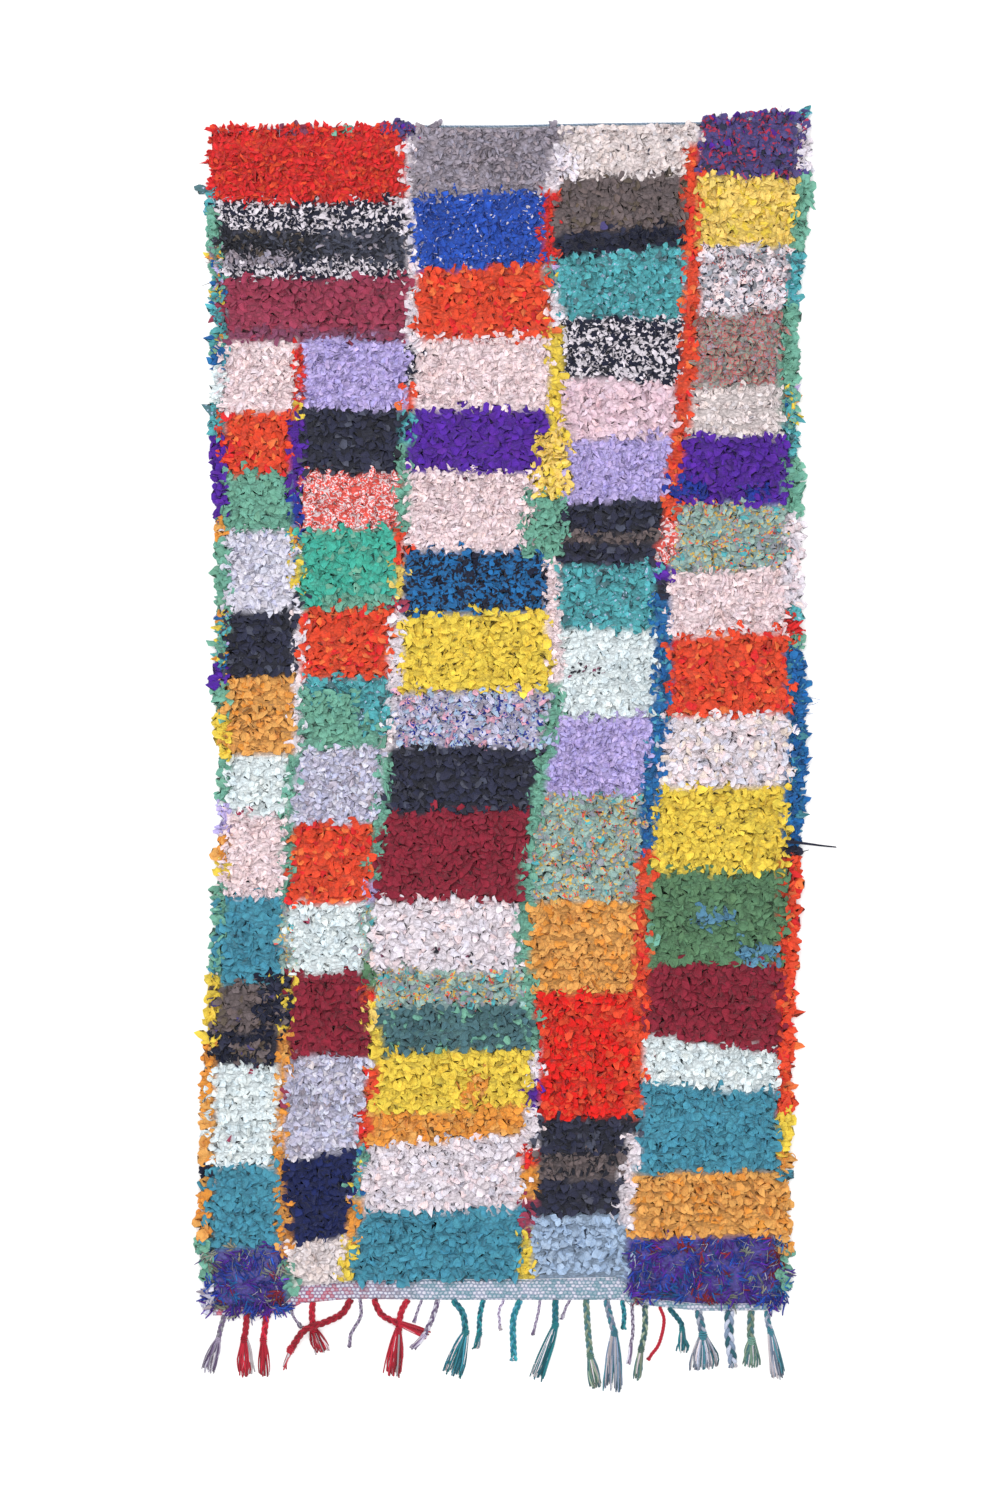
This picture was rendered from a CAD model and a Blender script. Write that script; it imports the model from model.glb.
"""The looks of a boucherouite rug: knotted rag pile in a patchwork of plain blocks, with narrow
stripes between its five columns, a flat woven end, plaited tassels and a corded heading.

Lengths are in metres, unless a name ends in _CM or a comment gives another unit. The origin is
the middle of the pile, on the floor, with +Y toward the heading and +Z up. Every fibre piece is
worked out as whole numpy arrays: a shape function of two parameters, or a round profile carried
along paths.
"""

import math

import bpy
import numpy as np
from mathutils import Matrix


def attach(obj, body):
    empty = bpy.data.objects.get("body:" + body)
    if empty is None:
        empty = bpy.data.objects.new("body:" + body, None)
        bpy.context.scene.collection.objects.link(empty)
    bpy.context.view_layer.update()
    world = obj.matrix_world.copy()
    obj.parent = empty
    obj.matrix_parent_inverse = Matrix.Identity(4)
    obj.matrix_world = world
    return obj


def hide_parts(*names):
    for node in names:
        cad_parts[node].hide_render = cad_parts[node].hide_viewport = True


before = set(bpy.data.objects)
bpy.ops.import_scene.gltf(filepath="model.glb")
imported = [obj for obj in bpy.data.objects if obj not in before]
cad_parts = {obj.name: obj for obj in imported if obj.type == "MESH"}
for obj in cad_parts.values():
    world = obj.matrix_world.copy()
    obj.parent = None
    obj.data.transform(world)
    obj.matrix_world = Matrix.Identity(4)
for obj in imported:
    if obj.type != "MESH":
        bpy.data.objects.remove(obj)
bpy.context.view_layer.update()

CM = 0.01
MM = 0.001

# Seeds of the random draws: each rag's own is its number counted on from PILE_SEED.
CHART_SEED = 7
PILE_SEED = 100
TASSEL_SEED = 23

# The outline. Columns: place along, left edge, right edge, in centimetres.
SIDE_EDGES_CM = np.array((
    (108.7, -54.7, 55.4),
    (93.7, -54.2, 54.9),
    (79.1, -52.7, 53.4),
    (67.2, -52.7, 52.7),
    (55.3, -53.1, 53.1),
    (38.8, -52.3, 53.8),
    (20.5, -51.8, 53.4),
    (5.9, -52.2, 54.2),
    (-7.0, -51.8, 54.4),
    (-25.3, -51.8, 53.3),
    (-43.6, -53.3, 52.7),
    (-63.7, -54.7, 51.8),
    (-80.2, -54.9, 51.2),
    (-98.5, -55.4, 51.6),
    (-109.1, -54.4, 51.6),
))

# Columns: place across, outer edge of the heading, in centimetres.
TOP_EDGE_CM = np.array((
    (-54.9, 106.5),
    (-37.5, 106.9),
    (-19.2, 107.4),
    (-0.9, 107.4),
    (17.4, 107.8),
    (35.7, 108.0),
    (44.8, 108.9),
    (55.4, 110.2),
))

# Columns: place across, lower edge of the pile, lower edge of the end band, in centimetres.
END_EDGES_CM = np.array((
    (-55.3, -109.1, -110.5),
    (-40.8, -108.7, -110.0),
    (-37.2, -105.0, -108.2),
    (-28.4, -104.1, -107.4),
    (-11.9, -103.8, -107.6),
    (3.7, -103.8, -107.6),
    (20.7, -103.4, -107.6),
    (24.6, -107.2, -108.4),
    (35.7, -108.3, -109.6),
    (51.8, -108.2, -109.4),
))

# The four stripes between the columns. Columns: place along, place across, in centimetres.
STRIPE_LINES_CM = {
    "first": np.array((
        (67.2, -37.5), (57.1, -38.1), (20.5, -37.9), (5.9, -37.7), (-7.0, -38.1), (-14.3, -39.3),
        (-34.4, -40.3), (-50.0, -39.9), (-64.8, -40.4), (-80.2, -41.4), (-97.5, -40.1),
        (-105.8, -39.0),
    )),
    "second": np.array((
        (107.4, -18.0), (67.2, -16.7), (56.2, -17.4), (47.9, -18.3), (27.8, -19.2), (5.9, -20.1),
        (-14.3, -22.3), (-39.9, -25.4), (-54.5, -24.7), (-61.9, -23.2), (-72.8, -25.3),
        (-91.1, -27.4), (-103.0, -29.1),
    )),
    "third": np.array((
        (101.0, 9.3), (88.2, 7.5), (73.6, 9.3), (55.3, 9.3), (35.1, 7.7), (16.8, 9.2), (2.2, 9.3),
        (-10.6, 7.0), (-25.3, 4.6), (-41.7, 3.3), (-54.5, 4.6), (-63.7, 5.9), (-80.2, 4.6),
        (-93.0, 4.2), (-103.0, 3.7),
    )),
    "fourth": np.array((
        (99.2, 34.2), (75.4, 33.9), (57.1, 32.9), (42.5, 30.7), (27.8, 29.3), (16.8, 28.4),
        (2.2, 28.7), (-12.4, 26.9), (-23.4, 26.2), (-34.4, 25.1), (-49.0, 25.1), (-71.0, 23.6),
        (-80.2, 23.2), (-89.3, 21.8), (-105.8, 21.0),
    )),
}
STRIPE_HALF_CM = {"first": 0.9, "second": 1.0, "third": 1.2, "fourth": 1.5}

# How far in from the outline the side columns begin. Columns: place along, left, right.
SIDE_INSET_CM = np.array((
    (110.0, 0.4, 0.4),
    (98.0, 0.5, 0.8),
    (92.0, 0.6, 1.4),
    (60.0, 0.62, 2.0),
    (0.0, 0.65, 1.9),
    (-12.0, 0.5, 1.8),
    (-45.0, 0.4, 1.8),
    (-62.0, 0.4, 1.6),
    (-80.0, 0.3, 1.4),
    (-86.0, 0.3, 0.2),
    (-110.0, 0.3, 0.2),
))

# Each dye as the eye reads it, red, green and blue from 0 to 255.
DYES = {
    "red": (222, 42, 44),
    "scarlet": (226, 30, 24),
    "orange red": (225, 74, 44),
    "flame": (236, 116, 62),
    "maroon": (156, 58, 84),
    "dull mauve": (132, 70, 98),
    "burgundy": (138, 34, 54),
    "pale pink": (243, 222, 226),
    "rose": (232, 204, 216),
    "lavender": (192, 178, 230),
    "charcoal": (46, 48, 70),
    "coal": (34, 35, 46),
    "sage": (112, 170, 150),
    "lilac grey": (200, 198, 222),
    "pale lilac": (222, 220, 234),
    "apricot": (226, 164, 88),
    "orange": (228, 150, 62),
    "mint": (225, 235, 238),
    "cerulean": (72, 146, 170),
    "taupe": (110, 97, 98),
    "dusty blue": (88, 138, 168),
    "navy": (26, 36, 86),
    "ink": (24, 28, 50),
    "cream": (233, 221, 221),
    "white": (229, 221, 230),
    "jade": (68, 176, 156),
    "warm grey": (162, 153, 166),
    "royal blue": (42, 86, 188),
    "deep blue": (36, 56, 156),
    "purple": (84, 36, 156),
    "turquoise": (84, 170, 178),
    "peacock": (34, 108, 168),
    "yellow": (234, 205, 76),
    "butter": (240, 208, 112),
    "grass": (92, 132, 98),
    "deep teal": (76, 112, 120),
    "pale blue": (168, 190, 218),
    "azure": (30, 98, 164),
    "brown": (96, 84, 74),
    "peach": (236, 220, 210),
    "blossom": (226, 170, 190),
    "grape": (82, 74, 132),
    "grey": (150, 154, 164),
    "crimson": (180, 50, 84),
    "brick": (188, 108, 108),
    "moss": (150, 154, 142),
    "coral": (228, 88, 78),
    "haze": (156, 184, 176),
    "ochre": (222, 184, 92),
    "iron": (74, 77, 94),
}

# Rags. parts: the dyes that its strips may have and how much of each. width, reach: a cut end's,
# in mm. blotch: the colour of a print's marks, their share and size in mm, and where a second
# colour follows, the marks come in groups and some have it. tint: how much ends of one dye
# differ. rows: its ends keep to their rows. gaps: how light the feet of the pile look between
# its ends. yarn: strands of wool in place of cut ends. The order sets each rag's random draws.
RAGS = {
    "red": {"parts": {"red": 5, "orange red": 2}, "width": 9, "reach": 18, "tint": 0.09},
    "scarlet": {"parts": {"scarlet": 4, "orange red": 2}, "width": 18, "reach": 17, "tint": 0.09},
    "orange red": {"parts": {"orange red": 5, "red": 1, "flame": 1}, "width": 18, "reach": 17},
    "navy print": {"parts": {"ink": 1}, "blotch": ("white", 0.43, 8), "width": 16, "reach": 15},
    "smoke": {"parts": {"coal": 2, "iron": 10, "warm grey": 1}, "width": 10, "reach": 18},
    "cinder": {"parts": {"coal": 7, "brown": 1, "iron": 1}, "width": 10, "reach": 18},
    "maroon": {"parts": {"maroon": 1}, "width": 20, "reach": 17},
    "dull mauve": {"parts": {"dull mauve": 3, "maroon": 1}, "width": 16, "reach": 16},
    "burgundy": {"parts": {"burgundy": 1}, "width": 20, "reach": 17},
    "pale pink": {"parts": {"pale pink": 1}, "width": 11, "reach": 16},
    "rose": {"parts": {"rose": 1}, "width": 16, "reach": 17},
    "lavender": {"parts": {"lavender": 1}, "width": 11, "reach": 16},
    "charcoal": {
        "parts": {"charcoal": 5, "coal": 1, "iron": 1}, "width": 20, "reach": 16, "rows": True,
        "gaps": 0.6,
    },
    "brown fleck": {"parts": {"taupe": 3, "coal": 1}, "width": 13, "reach": 15},
    "coral print": {
        "parts": {"coral": 1}, "blotch": ("pale pink", 0.42, 2.4), "width": 17, "reach": 15,
    },
    "sage": {"parts": {"sage": 1}, "width": 20, "reach": 16},
    "jade": {"parts": {"jade": 5, "sage": 1}, "width": 20, "reach": 16},
    "turquoise": {
        "parts": {"turquoise": 6, "deep teal": 1}, "blotch": ("pale blue", 0.04, 3), "width": 16,
        "reach": 16,
    },
    "lilac grey": {
        "parts": {"lilac grey": 6, "pale lilac": 3, "warm grey": 1}, "tint": 0.10, "width": 13,
        "reach": 16, "gaps": 0.9,
    },
    "pale lilac": {"parts": {"pale lilac": 4, "lilac grey": 1}, "width": 14, "reach": 16},
    "deep blue": {"parts": {"deep blue": 1}, "tint": 0.12, "width": 20, "reach": 16},
    "shadow": {"parts": {"coal": 1, "dull mauve": 1}, "width": 9, "reach": 9},
    "apricot": {
        "parts": {"apricot": 5, "orange": 1}, "width": 20, "reach": 16, "rows": True, "gaps": 0.82,
    },
    "orange": {"parts": {"orange": 2, "apricot": 1}, "width": 18, "reach": 16},
    "mint": {
        "parts": {"mint": 120, "maroon": 1}, "width": 16, "reach": 15, "rows": True, "gaps": 1.0,
    },
    "cerulean": {"parts": {"cerulean": 1}, "width": 20, "reach": 16},
    "dusty blue": {"parts": {"dusty blue": 1}, "tint": 0.10, "width": 19, "reach": 15},
    "taupe": {"parts": {"taupe": 30, "brown": 6, "grape": 1}, "width": 16, "reach": 17},
    "navy": {"parts": {"navy": 1}, "tint": 0.16, "width": 21, "reach": 16},
    "ink": {"parts": {"ink": 80, "charcoal": 40, "butter": 1}, "width": 16, "reach": 17},
    "cream": {"parts": {"cream": 120, "charcoal": 1}, "width": 13, "reach": 15},
    "cream in rows": {
        "parts": {"cream": 120, "charcoal": 1}, "width": 14, "reach": 13, "rows": True, "gaps": 0.8,
    },
    "white": {"parts": {"white": 5, "pale pink": 1}, "width": 17, "reach": 16},
    "warm grey": {"parts": {"warm grey": 1}, "width": 9, "tint": 0.10, "reach": 18},
    "royal blue": {
        "parts": {"royal blue": 1}, "blotch": ("white", 0.03, 4), "width": 10, "reach": 18,
    },
    "purple": {"parts": {"purple": 1}, "tint": 0.12, "width": 20, "reach": 17},
    "peacock print": {
        "parts": {"peacock": 1}, "blotch": ("ink", 0.44, 14), "width": 18, "reach": 16,
    },
    "yellow": {"parts": {"yellow": 1}, "width": 20, "reach": 17},
    "butter": {"parts": {"butter": 3, "yellow": 1}, "width": 16, "reach": 17},
    "grass": {"parts": {"grass": 1}, "width": 20, "reach": 17},
    "deep teal": {"parts": {"deep teal": 8, "sage": 1}, "width": 17, "reach": 17},
    "pale blue": {"parts": {"pale blue": 1}, "width": 20, "reach": 16, "rows": True, "gaps": 0.7},
    "azure": {
        "parts": {"azure": 5, "peacock": 2, "cerulean": 1}, "tint": 0.16, "width": 15, "reach": 16,
    },
    "blue print": {
        "parts": {"lilac grey": 3, "pale blue": 2, "blossom": 1, "warm grey": 1},
        "blotch": ("deep blue", 0.20, 3, "grey"), "width": 17, "reach": 16,
    },
    "garden print": {
        "parts": {"haze": 5, "grey": 2, "turquoise": 1}, "blotch": ("ochre", 0.20, 4, "coral"),
        "width": 17, "reach": 16,
    },
    "ash fleck": {
        "parts": {"white": 4, "grey": 2, "pale pink": 2}, "blotch": ("iron", 0.18, 2.6, "brick"),
        "width": 17, "reach": 16,
    },
    "heather": {
        "parts": {"moss": 2, "warm grey": 1}, "blotch": ("brick", 0.42, 2.2), "width": 16,
        "reach": 16,
    },
    "pastel": {
        "parts": {"pale lilac": 3, "peach": 3, "white": 4, "pale pink": 4}, "tint": 0.04,
        "width": 18, "reach": 16,
    },
    "scraps": {
        "parts": {"sage": 3, "turquoise": 2, "yellow": 1, "lavender": 1, "orange": 1, "azure": 1},
        "width": 14, "reach": 16,
    },
    "violet fleck": {
        "parts": {"grape": 8, "charcoal": 1, "purple": 1}, "blotch": ("crimson", 0.17, 7),
        "width": 16, "reach": 17,
    },
    "violet yarn": {
        "parts": {
            "purple": 4, "deep blue": 4, "royal blue": 3, "maroon": 1, "moss": 2, "deep teal": 1,
        },
        "yarn": True,
    },
    "blue yarn": {
        "parts": {
            "deep blue": 5, "purple": 5, "royal blue": 2, "burgundy": 2, "azure": 2, "moss": 1,
        },
        "yarn": True,
    },
}

# The patchwork, a column at a time from its top. Columns: rag, height, and how much higher the
# right end of its lower side lies than the left, in centimetres.
WIDE_BLOCKS = (
    ("red", 13.7, 0.3), ("navy print", 5.6, 0.2), ("smoke", 5.3, -0.2), ("navy print", 3.2, 0.3),
    ("maroon", 9.0, 0.2), ("dull mauve", 3.0, 0.2),
)
FIRST_BLOCKS = (
    ("pale pink", 12.1, 0.2), ("orange red", 11.2, 0), ("sage", 10.4, 0.3),
    ("pale lilac", 14.8, 0.2), ("charcoal", 11.9, 0), ("apricot", 14.1, -0.3),
    ("mint", 11.5, -0.2), ("pale pink", 15.0, 0), ("cerulean", 15.7, 0.3), ("taupe", 8.6, 0.4),
    ("ink", 6.2, 0), ("mint", 18.5, 0.2), ("cerulean", 14.8, 1.4), ("violet yarn", 5.4, 0.4),
    ("blue yarn", 7.0, 0),
)
SECOND_BLOCKS = (
    ("lavender", 11.9, 0), ("charcoal", 11.7, -0.2), ("coral print", 10.4, 0), ("jade", 14.1, 0.2),
    ("orange red", 13.0, 0), ("turquoise", 6.4, 0), ("sage", 6.4, 0.4), ("lilac grey", 13.7, 0),
    ("orange red", 14.6, 0.4), ("mint", 12.8, 0.2), ("burgundy", 15.4, 0.4),
    ("lilac grey", 17.8, 2.8), ("navy", 15.4, 1.4), ("cream", 7.9, 0),
)
THIRD_BLOCKS = (
    ("warm grey", 13.0, 0.9), ("royal blue", 13.2, 0.4), ("orange red", 12.8, 0),
    ("pale pink", 13.0, 0), ("purple", 11.5, -0.3), ("pale pink", 14.3, -0.3),
    ("peacock print", 11.5, 0), ("yellow", 14.5, 0), ("blue print", 10.2, -0.4),
    ("charcoal", 11.7, 0.6), ("burgundy", 15.9, 0.2), ("white", 13.2, 0),
    ("garden print", 6.6, 0.4), ("deep teal", 8.4, 0.6), ("yellow", 10.4, 1.0),
    ("orange", 5.5, 3.0), ("white", 13.0, 0.6), ("cerulean", 12.8, 0),
)
FOURTH_BLOCKS = (
    ("cream", 10.2, 0.3), ("taupe", 9.5, 1.8), ("ink", 4.0, 1.2), ("turquoise", 12.1, 0),
    ("navy print", 11.5, -0.4), ("rose", 10.2, 0.4), ("lavender", 11.7, 0), ("charcoal", 5.4, 0),
    ("brown fleck", 2.2, 0), ("charcoal", 4.1, 0), ("turquoise", 11.9, 0.2), ("mint", 15.9, 0),
    ("lavender", 14.1, 0.2), ("garden print", 19.4, 0), ("apricot", 17.0, 0.3),
    ("scarlet", 22.3, 0.4), ("charcoal", 7.1, 0), ("brown fleck", 4.1, 0), ("charcoal", 6.9, 0.6),
    ("pale blue", 10.8, 0),
)
FIFTH_BLOCKS = (
    ("violet fleck", 12.3, -0.4), ("butter", 12.6, 0.2), ("ash fleck", 12.4, 0.2),
    ("heather", 13.2, 0.3), ("cream in rows", 9.4, 0.3), ("purple", 12.1, 0),
    ("garden print", 12.4, 0), ("pale pink", 11.5, 0.3), ("orange red", 14.8, 0.4),
    ("pastel", 13.2, 0.3), ("yellow", 15.6, 0), ("grass", 17.0, 0.2), ("burgundy", 14.1, -2.8),
    ("mint", 8.3, -1.4), ("cerulean", 15.4, 0.4), ("apricot", 11.7, 0.4), ("blue yarn", 11.9, 0),
)
# Each column: its blocks, where its top lies (cm), and the stripes or sides that bound it.
COLUMNS = (
    (WIDE_BLOCKS, 106.9, "left", "second"),
    (FIRST_BLOCKS, 66.8, "left", "first"),
    (SECOND_BLOCKS, 67.3, "first", "second"),
    (THIRD_BLOCKS, 107.4, "second", "third"),
    (FOURTH_BLOCKS, 107.6, "third", "fourth"),
    (FIFTH_BLOCKS, 110.0, "fourth", "right"),
)

# The narrow stripes and the two sides: where each begins, then its runs from there down.
# Columns: rag and length. All in centimetres.
STRIPES = {
    "first": (67.2, (
        ("red", 11.0), ("yellow", 1.8), ("purple", 15.6), ("deep blue", 5.5), ("scraps", 5.8),
        ("yellow", 5.5), ("charcoal", 2.4), ("white", 27.0), ("sage", 27.0),
        ("garden print", 13.2), ("yellow", 10.0), ("orange", 12.0), ("maroon", 1.8),
        ("orange", 29.0), ("sage", 5.2),
    )),
    "second": (107.4, (
        ("violet fleck", 2.2), ("white", 38.3), ("navy print", 7.3), ("orange red", 4.6),
        ("turquoise", 5.9), ("sage", 15.7), ("orange red", 6.2), ("butter", 6.2), ("maroon", 2.4),
        ("white", 26.0), ("sage", 24.0), ("lavender", 3.0), ("garden print", 11.3),
        ("grass", 4.6), ("orange red", 2.6), ("butter", 4.4), ("yellow", 7.3),
        ("orange red", 14.1), ("scraps", 9.8), ("orange", 8.0), ("yellow", 7.4),
    )),
    "third": (107.4, (
        ("warm grey", 3.7), ("white", 8.2), ("red", 14.0), ("scraps", 4.4), ("white", 6.4),
        ("yellow", 30.7), ("sage", 12.0), ("pale pink", 22.9), ("sage", 66.6), ("white", 6.6),
        ("purple", 4.0), ("white", 7.7), ("red", 3.3), ("orange", 6.4), ("maroon", 5.5),
        ("yellow", 8.8),
    )),
    "fourth": (107.4, (
        ("cream", 4.0), ("orange red", 67.3), ("coral print", 9.5), ("purple", 2.7),
        ("charcoal", 3.3), ("azure", 45.8), ("orange red", 48.9), ("charcoal", 3.5),
        ("white", 16.5), ("pale blue", 9.0),
    )),
    "left": (95.5, (
        ("turquoise", 4.0), ("sage", 8.0), ("scraps", 9.0), ("turquoise", 5.5), ("scraps", 3.0),
        ("azure", 3.0), ("mint", 6.4), ("turquoise", 6.2), ("purple", 15.6), ("orange", 3.0),
        ("sage", 13.7),
        ("scraps", 9.7), ("purple", 3.3), ("sage", 6.6), ("yellow", 8.0), ("sage", 7.7),
        ("lavender", 5.9), ("orange", 5.0), ("yellow", 3.5), ("sage", 16.7), ("yellow", 12.0),
        ("orange", 12.0), ("apricot", 11.3), ("ink", 2.0), ("orange", 5.3), ("apricot", 6.0),
        ("sage", 8.0), ("lilac grey", 4.0),
    )),
    "right": (110.4, (
        ("turquoise", 3.0), ("white", 9.5), ("sage", 13.5), ("turquoise", 9.7), ("sage", 15.6),
        ("scraps", 6.0), ("turquoise", 6.5), ("sage", 10.2), ("white", 17.0), ("turquoise", 2.2),
        ("red", 3.0), ("sage", 2.2), ("azure", 36.2), ("ink", 2.2), ("orange red", 47.0),
        ("yellow", 7.3), ("orange", 3.0), ("cerulean", 3.0), ("apricot", 12.0), ("sage", 8.5),
    )),
}

# Small patches inside the blocks. Columns: rag, left, right, top and bottom, in centimetres.
PATCHES_CM = (
    ("violet fleck", -21.4, -15.4, 107.4, 105.4),
    ("sage", -29.8, -28.2, 107.0, 106.0),
    ("dull mauve", -40.4, -35.6, 107.0, 106.0),
    ("dusty blue", 35.0, 41.6, -36.2, -38.4),
    ("dusty blue", 43.4, 50.4, -43.4, -45.6),
    ("sage", 26.9, 28.2, -41.0, -42.4),
    ("deep blue", 31.0, 37.0, 41.6, 39.4),
    ("deep blue", 44.2, 48.0, 41.3, 39.2),
    ("butter", 6.4, 11.6, 51.0, 40.2),
    ("sage", 4.2, 10.8, 40.0, 29.0),
    ("shadow", 12.5, 17.6, 8.2, 7.2),
    ("white", 10.4, 12.4, 103.4, 97.0),
    ("cinder", -52.0, -34.0, 87.4, 84.2),
    ("warm grey", -53.0, -38.0, 83.9, 81.9),
    ("sage", -33.0, -20.0, 21.5, 19.4),
    ("sage", -37.0, -27.0, 3.0, 0.2),
    ("turquoise", -25.9, -21.2, -0.3, -3.3),
    ("orange", -6.8, -2.6, -67.0, -70.6),
    ("ink", -43.6, -39.8, -48.7, -52.4),
    ("ink", -44.8, -39.6, -53.7, -57.2),
    ("taupe", -49.0, -43.0, -60.6, -63.6),
    ("shadow", -22.4, -21.0, -43.2, -44.2),
    ("shadow", -12.3, -10.9, -42.8, -43.8),
    ("shadow", -6.2, -4.8, -44.4, -45.4),
    ("shadow", -0.6, 0.8, -45.0, -46.0),
    ("shadow", -47.8, -46.4, -29.8, -30.8),
    ("shadow", 38.8, 41.4, -18.2, -18.9),
    ("shadow", 37.6, 39.8, -20.9, -21.9),
    ("shadow", -8.6, -6.9, 42.6, 41.8),
    ("blue yarn", 48.4, 50.2, -106.6, -108.2),
)

# How the rows lie: the spacing of rows and of knots, the knots' jitter as a share of it, and the
# rows' wave: its height, the length of a radian of it and its shift, in radians a metre along.
ROW_PITCH = 0.021
KNOT_PITCH = 0.0162
KNOT_JITTER = 0.25
ROW_WAVE = 0.003
ROW_WAVE_RADIAN = 0.05
ROW_WAVE_SHIFT = 40
PATCH_PITCH_CM = (1.5, 1.1)
# An end of a block is rooted this much above its knot's place, as it falls back over it.
HANG = 0.0075
KNOT_LEVEL = 0.003
# How far roots stay below the heading where it shows bare and elsewhere, and where it is bare.
TOP_MARGIN = (0.009, 0.003)
BARE_HEADING = (-0.12, 0.36)

# The narrow stripes and the sides. Knots zigzag over STRIPE_ZIGZAG of a stripe's half width. At a
# side they stand RIM_KNOT_SPARE outside the first column, but no less than RIM_KNOT_IN from the
# edge, and a loose row stands at LOOSE_ROW_SHARE of that distance from it. Where a side is no
# wider than NARROW_STRIPE, every second pair of knots is left out.
STRIPE_KNOT_PITCH = 0.014
STRIPE_ZIGZAG = 0.5
STRIPE_SCATTER = 0.001
RIM_KNOT_SPARE = 0.006
RIM_KNOT_IN = 0.010
LOOSE_ROW_SHARE = 0.55
NARROW_STRIPE = 0.0058
# Ends of a block within SIDE_REACH of a side may stand outward, and they are shorter there and
# at the top. Side tufts repeat at a length, and their phase wanders: by how many radians, and
# over what length of a radian.
SIDE_REACH = 0.014
RIM_SHORTER = 0.78
SIDE_TUFT = 0.026
SIDE_TUFT_WANDER = (3, 0.11)

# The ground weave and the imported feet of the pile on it: their tone as times the rag's, how far
# a block's colour goes on past its column's ends, and the lumps of the surface.
GROUND_TOP = 0.0085
GROUND_INSET = 0.010
GROUND_BELOW_HEADING = 0.0055
PACKED_SHADE = 0.97
PACKED_SIDE_SPARE = 0.004
PACKED_ABOVE_CM = 1
PACKED_BELOW_CM = 5
LUMP = 0.001
FLOOR_CLEARANCE = 0.0005

# Direction classes of the knots.
IN_BLOCK = 0
IN_STRIPE = 1
LEFT_RIM = 2
RIGHT_RIM = 3

# Rag ends: corners across and along a leaf, how wide it is at those along it, how many ends a
# knot has, and how much more the fine ones crumple. Widths of rags are in millimetres. Each
# leaf's weave starts at its own place, up to WEAVE_SHIFT metres on.
ACROSS = np.array((-1.0, 0.0, 1.0))
ALONG = np.array((0.0, 0.40, 0.72, 1.0))
ALONG_FINE = np.array((0.0, 0.55, 1.0))
WIDTH_SHARES = (0.45, 0.92, 1.0, 1.0)
FINE_WIDTH = 15.5
FINE_ENDS = 8
BROAD_ENDS = 4
FINENESS_WIDTHS = (11, 19)
FINENESS = (1.25, 0.60)
RAG_THICKNESS = 0.0012
PLAIN_TINT = 0.07
WEAVE_SHIFT = 3
RAG_CRUMPLE = 0.0020
CRUMPLE_TURNS = (1.6, 3.4)
CRUMPLE_SKEW = 1.5
CRUMPLE_SPREAD = (0.6, 1.5)
CRUMPLE_AT_ROOT = 0.3
# Which way the ends fall: to either side of straight down, with a spread, and some at random,
# but by the bare heading no further round than the widest turn. How they roll and twist.
RAG_SPLIT = math.radians(24)
RAG_LEAN = math.radians(62)
RAG_ROLL = math.radians(34)
RAG_TWIST = 0.35
RANDOM_SHARE = 0.12
ROWED_RANDOM_SHARE = 0.03
WIDEST_TURN_AT_HEADING = 1.35
OUTWARD_LEAN = math.radians(38)
OUTWARD_SHARE = 0.6
# Their sizes, as shares of the rag's reach and width. Tufts: the mean length and its swing.
LENGTHS = (0.95, 1.2, 1.45)
LENGTH_SPREAD = (0.88, 1.12)
STRIPE_LENGTH = 0.85
TUFT_LENGTHS = (1.05, 0.35)
WIDTH_SPREAD = (0.78, 1.22)
TIP_WIDTHS = (0.45, 0.95)
SIDE_TIP_WIDTHS = (0.15, 0.8)
# How they climb at the root and at the tip, in degrees: lowest and highest, or mean and spread.
ROOT_CLIMB = (52, 88)
TIP_CLIMB = (4, 18)
SIDE_ROOT_CLIMB = (30, 80)
SIDE_TIP_CLIMB = (-55, 5)
# The fold along a leaf: how far from its middle it may lie and its mean depth and spread. Then
# the slant and roundness of the cut end.
CREASE_PLACE = 0.38
FOLD_DEPTH = (0.42, 0.36)
CUT_SLANT = 0.16
CUT_ROUND = 0.16
# How far roots stray from their knots, across and along, and that in rows, where ends lean less.
KNOT_SCATTER = (0.0036, 0.0042)
ROWED_SCATTER = (0.0040, 0.0022)
ROWED_LEAN = 0.62

# Yarn tufts. A clump is a cell of this size with wavy sides: the wave's height in cells, and the
# length of a radian of it.
YARNS_PER_CM2 = 4.2
YARN_CLUMP = 0.020
YARN_CLUMP_WAVE = (0.3, 0.02)
YARN_RADIUS = 0.0021
YARN_RADIUS_SPREAD = (0.7, 1.3)
YARN_TAPER = 0.35
YARN_STEPS = 5
YARN_SIDES = 3
YARN_SCATTER = 0.0045
YARN_SWAY = 0.005
YARN_LENGTHS = (0.016, 0.026)
# Spreads of a clump's aim, of a strand's about it and of a side strand's, in radians.
CLUMP_LEAN = 1.0
STRAND_LEAN = 0.55
SIDE_STRAND_LEAN = 0.8
# How strands climb, in degrees: lowest and highest at the root, mean and spread at the tip.
YARN_ROOT_CLIMB = (50, 92)
YARN_TIP_CLIMB = (-22, 22)
# Spreads of their tints.
CLUMP_TINT = 0.15
STRAY_TINT = 0.2
STRAND_TINT = 0.26
YARN_STRAY_SHARE = 0.26
# Some strands are a thin pale fuzz: how many degrees higher their tips point, and how many times
# as far they sway.
FUZZ_RADIUS = 0.0008
FUZZ_SHARE = 0.11
FUZZ_LIFT = 20
FUZZ_SWAY = 1.8
FUZZ_DYES = ("grey", "warm grey", "moss", "lilac grey")

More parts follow.
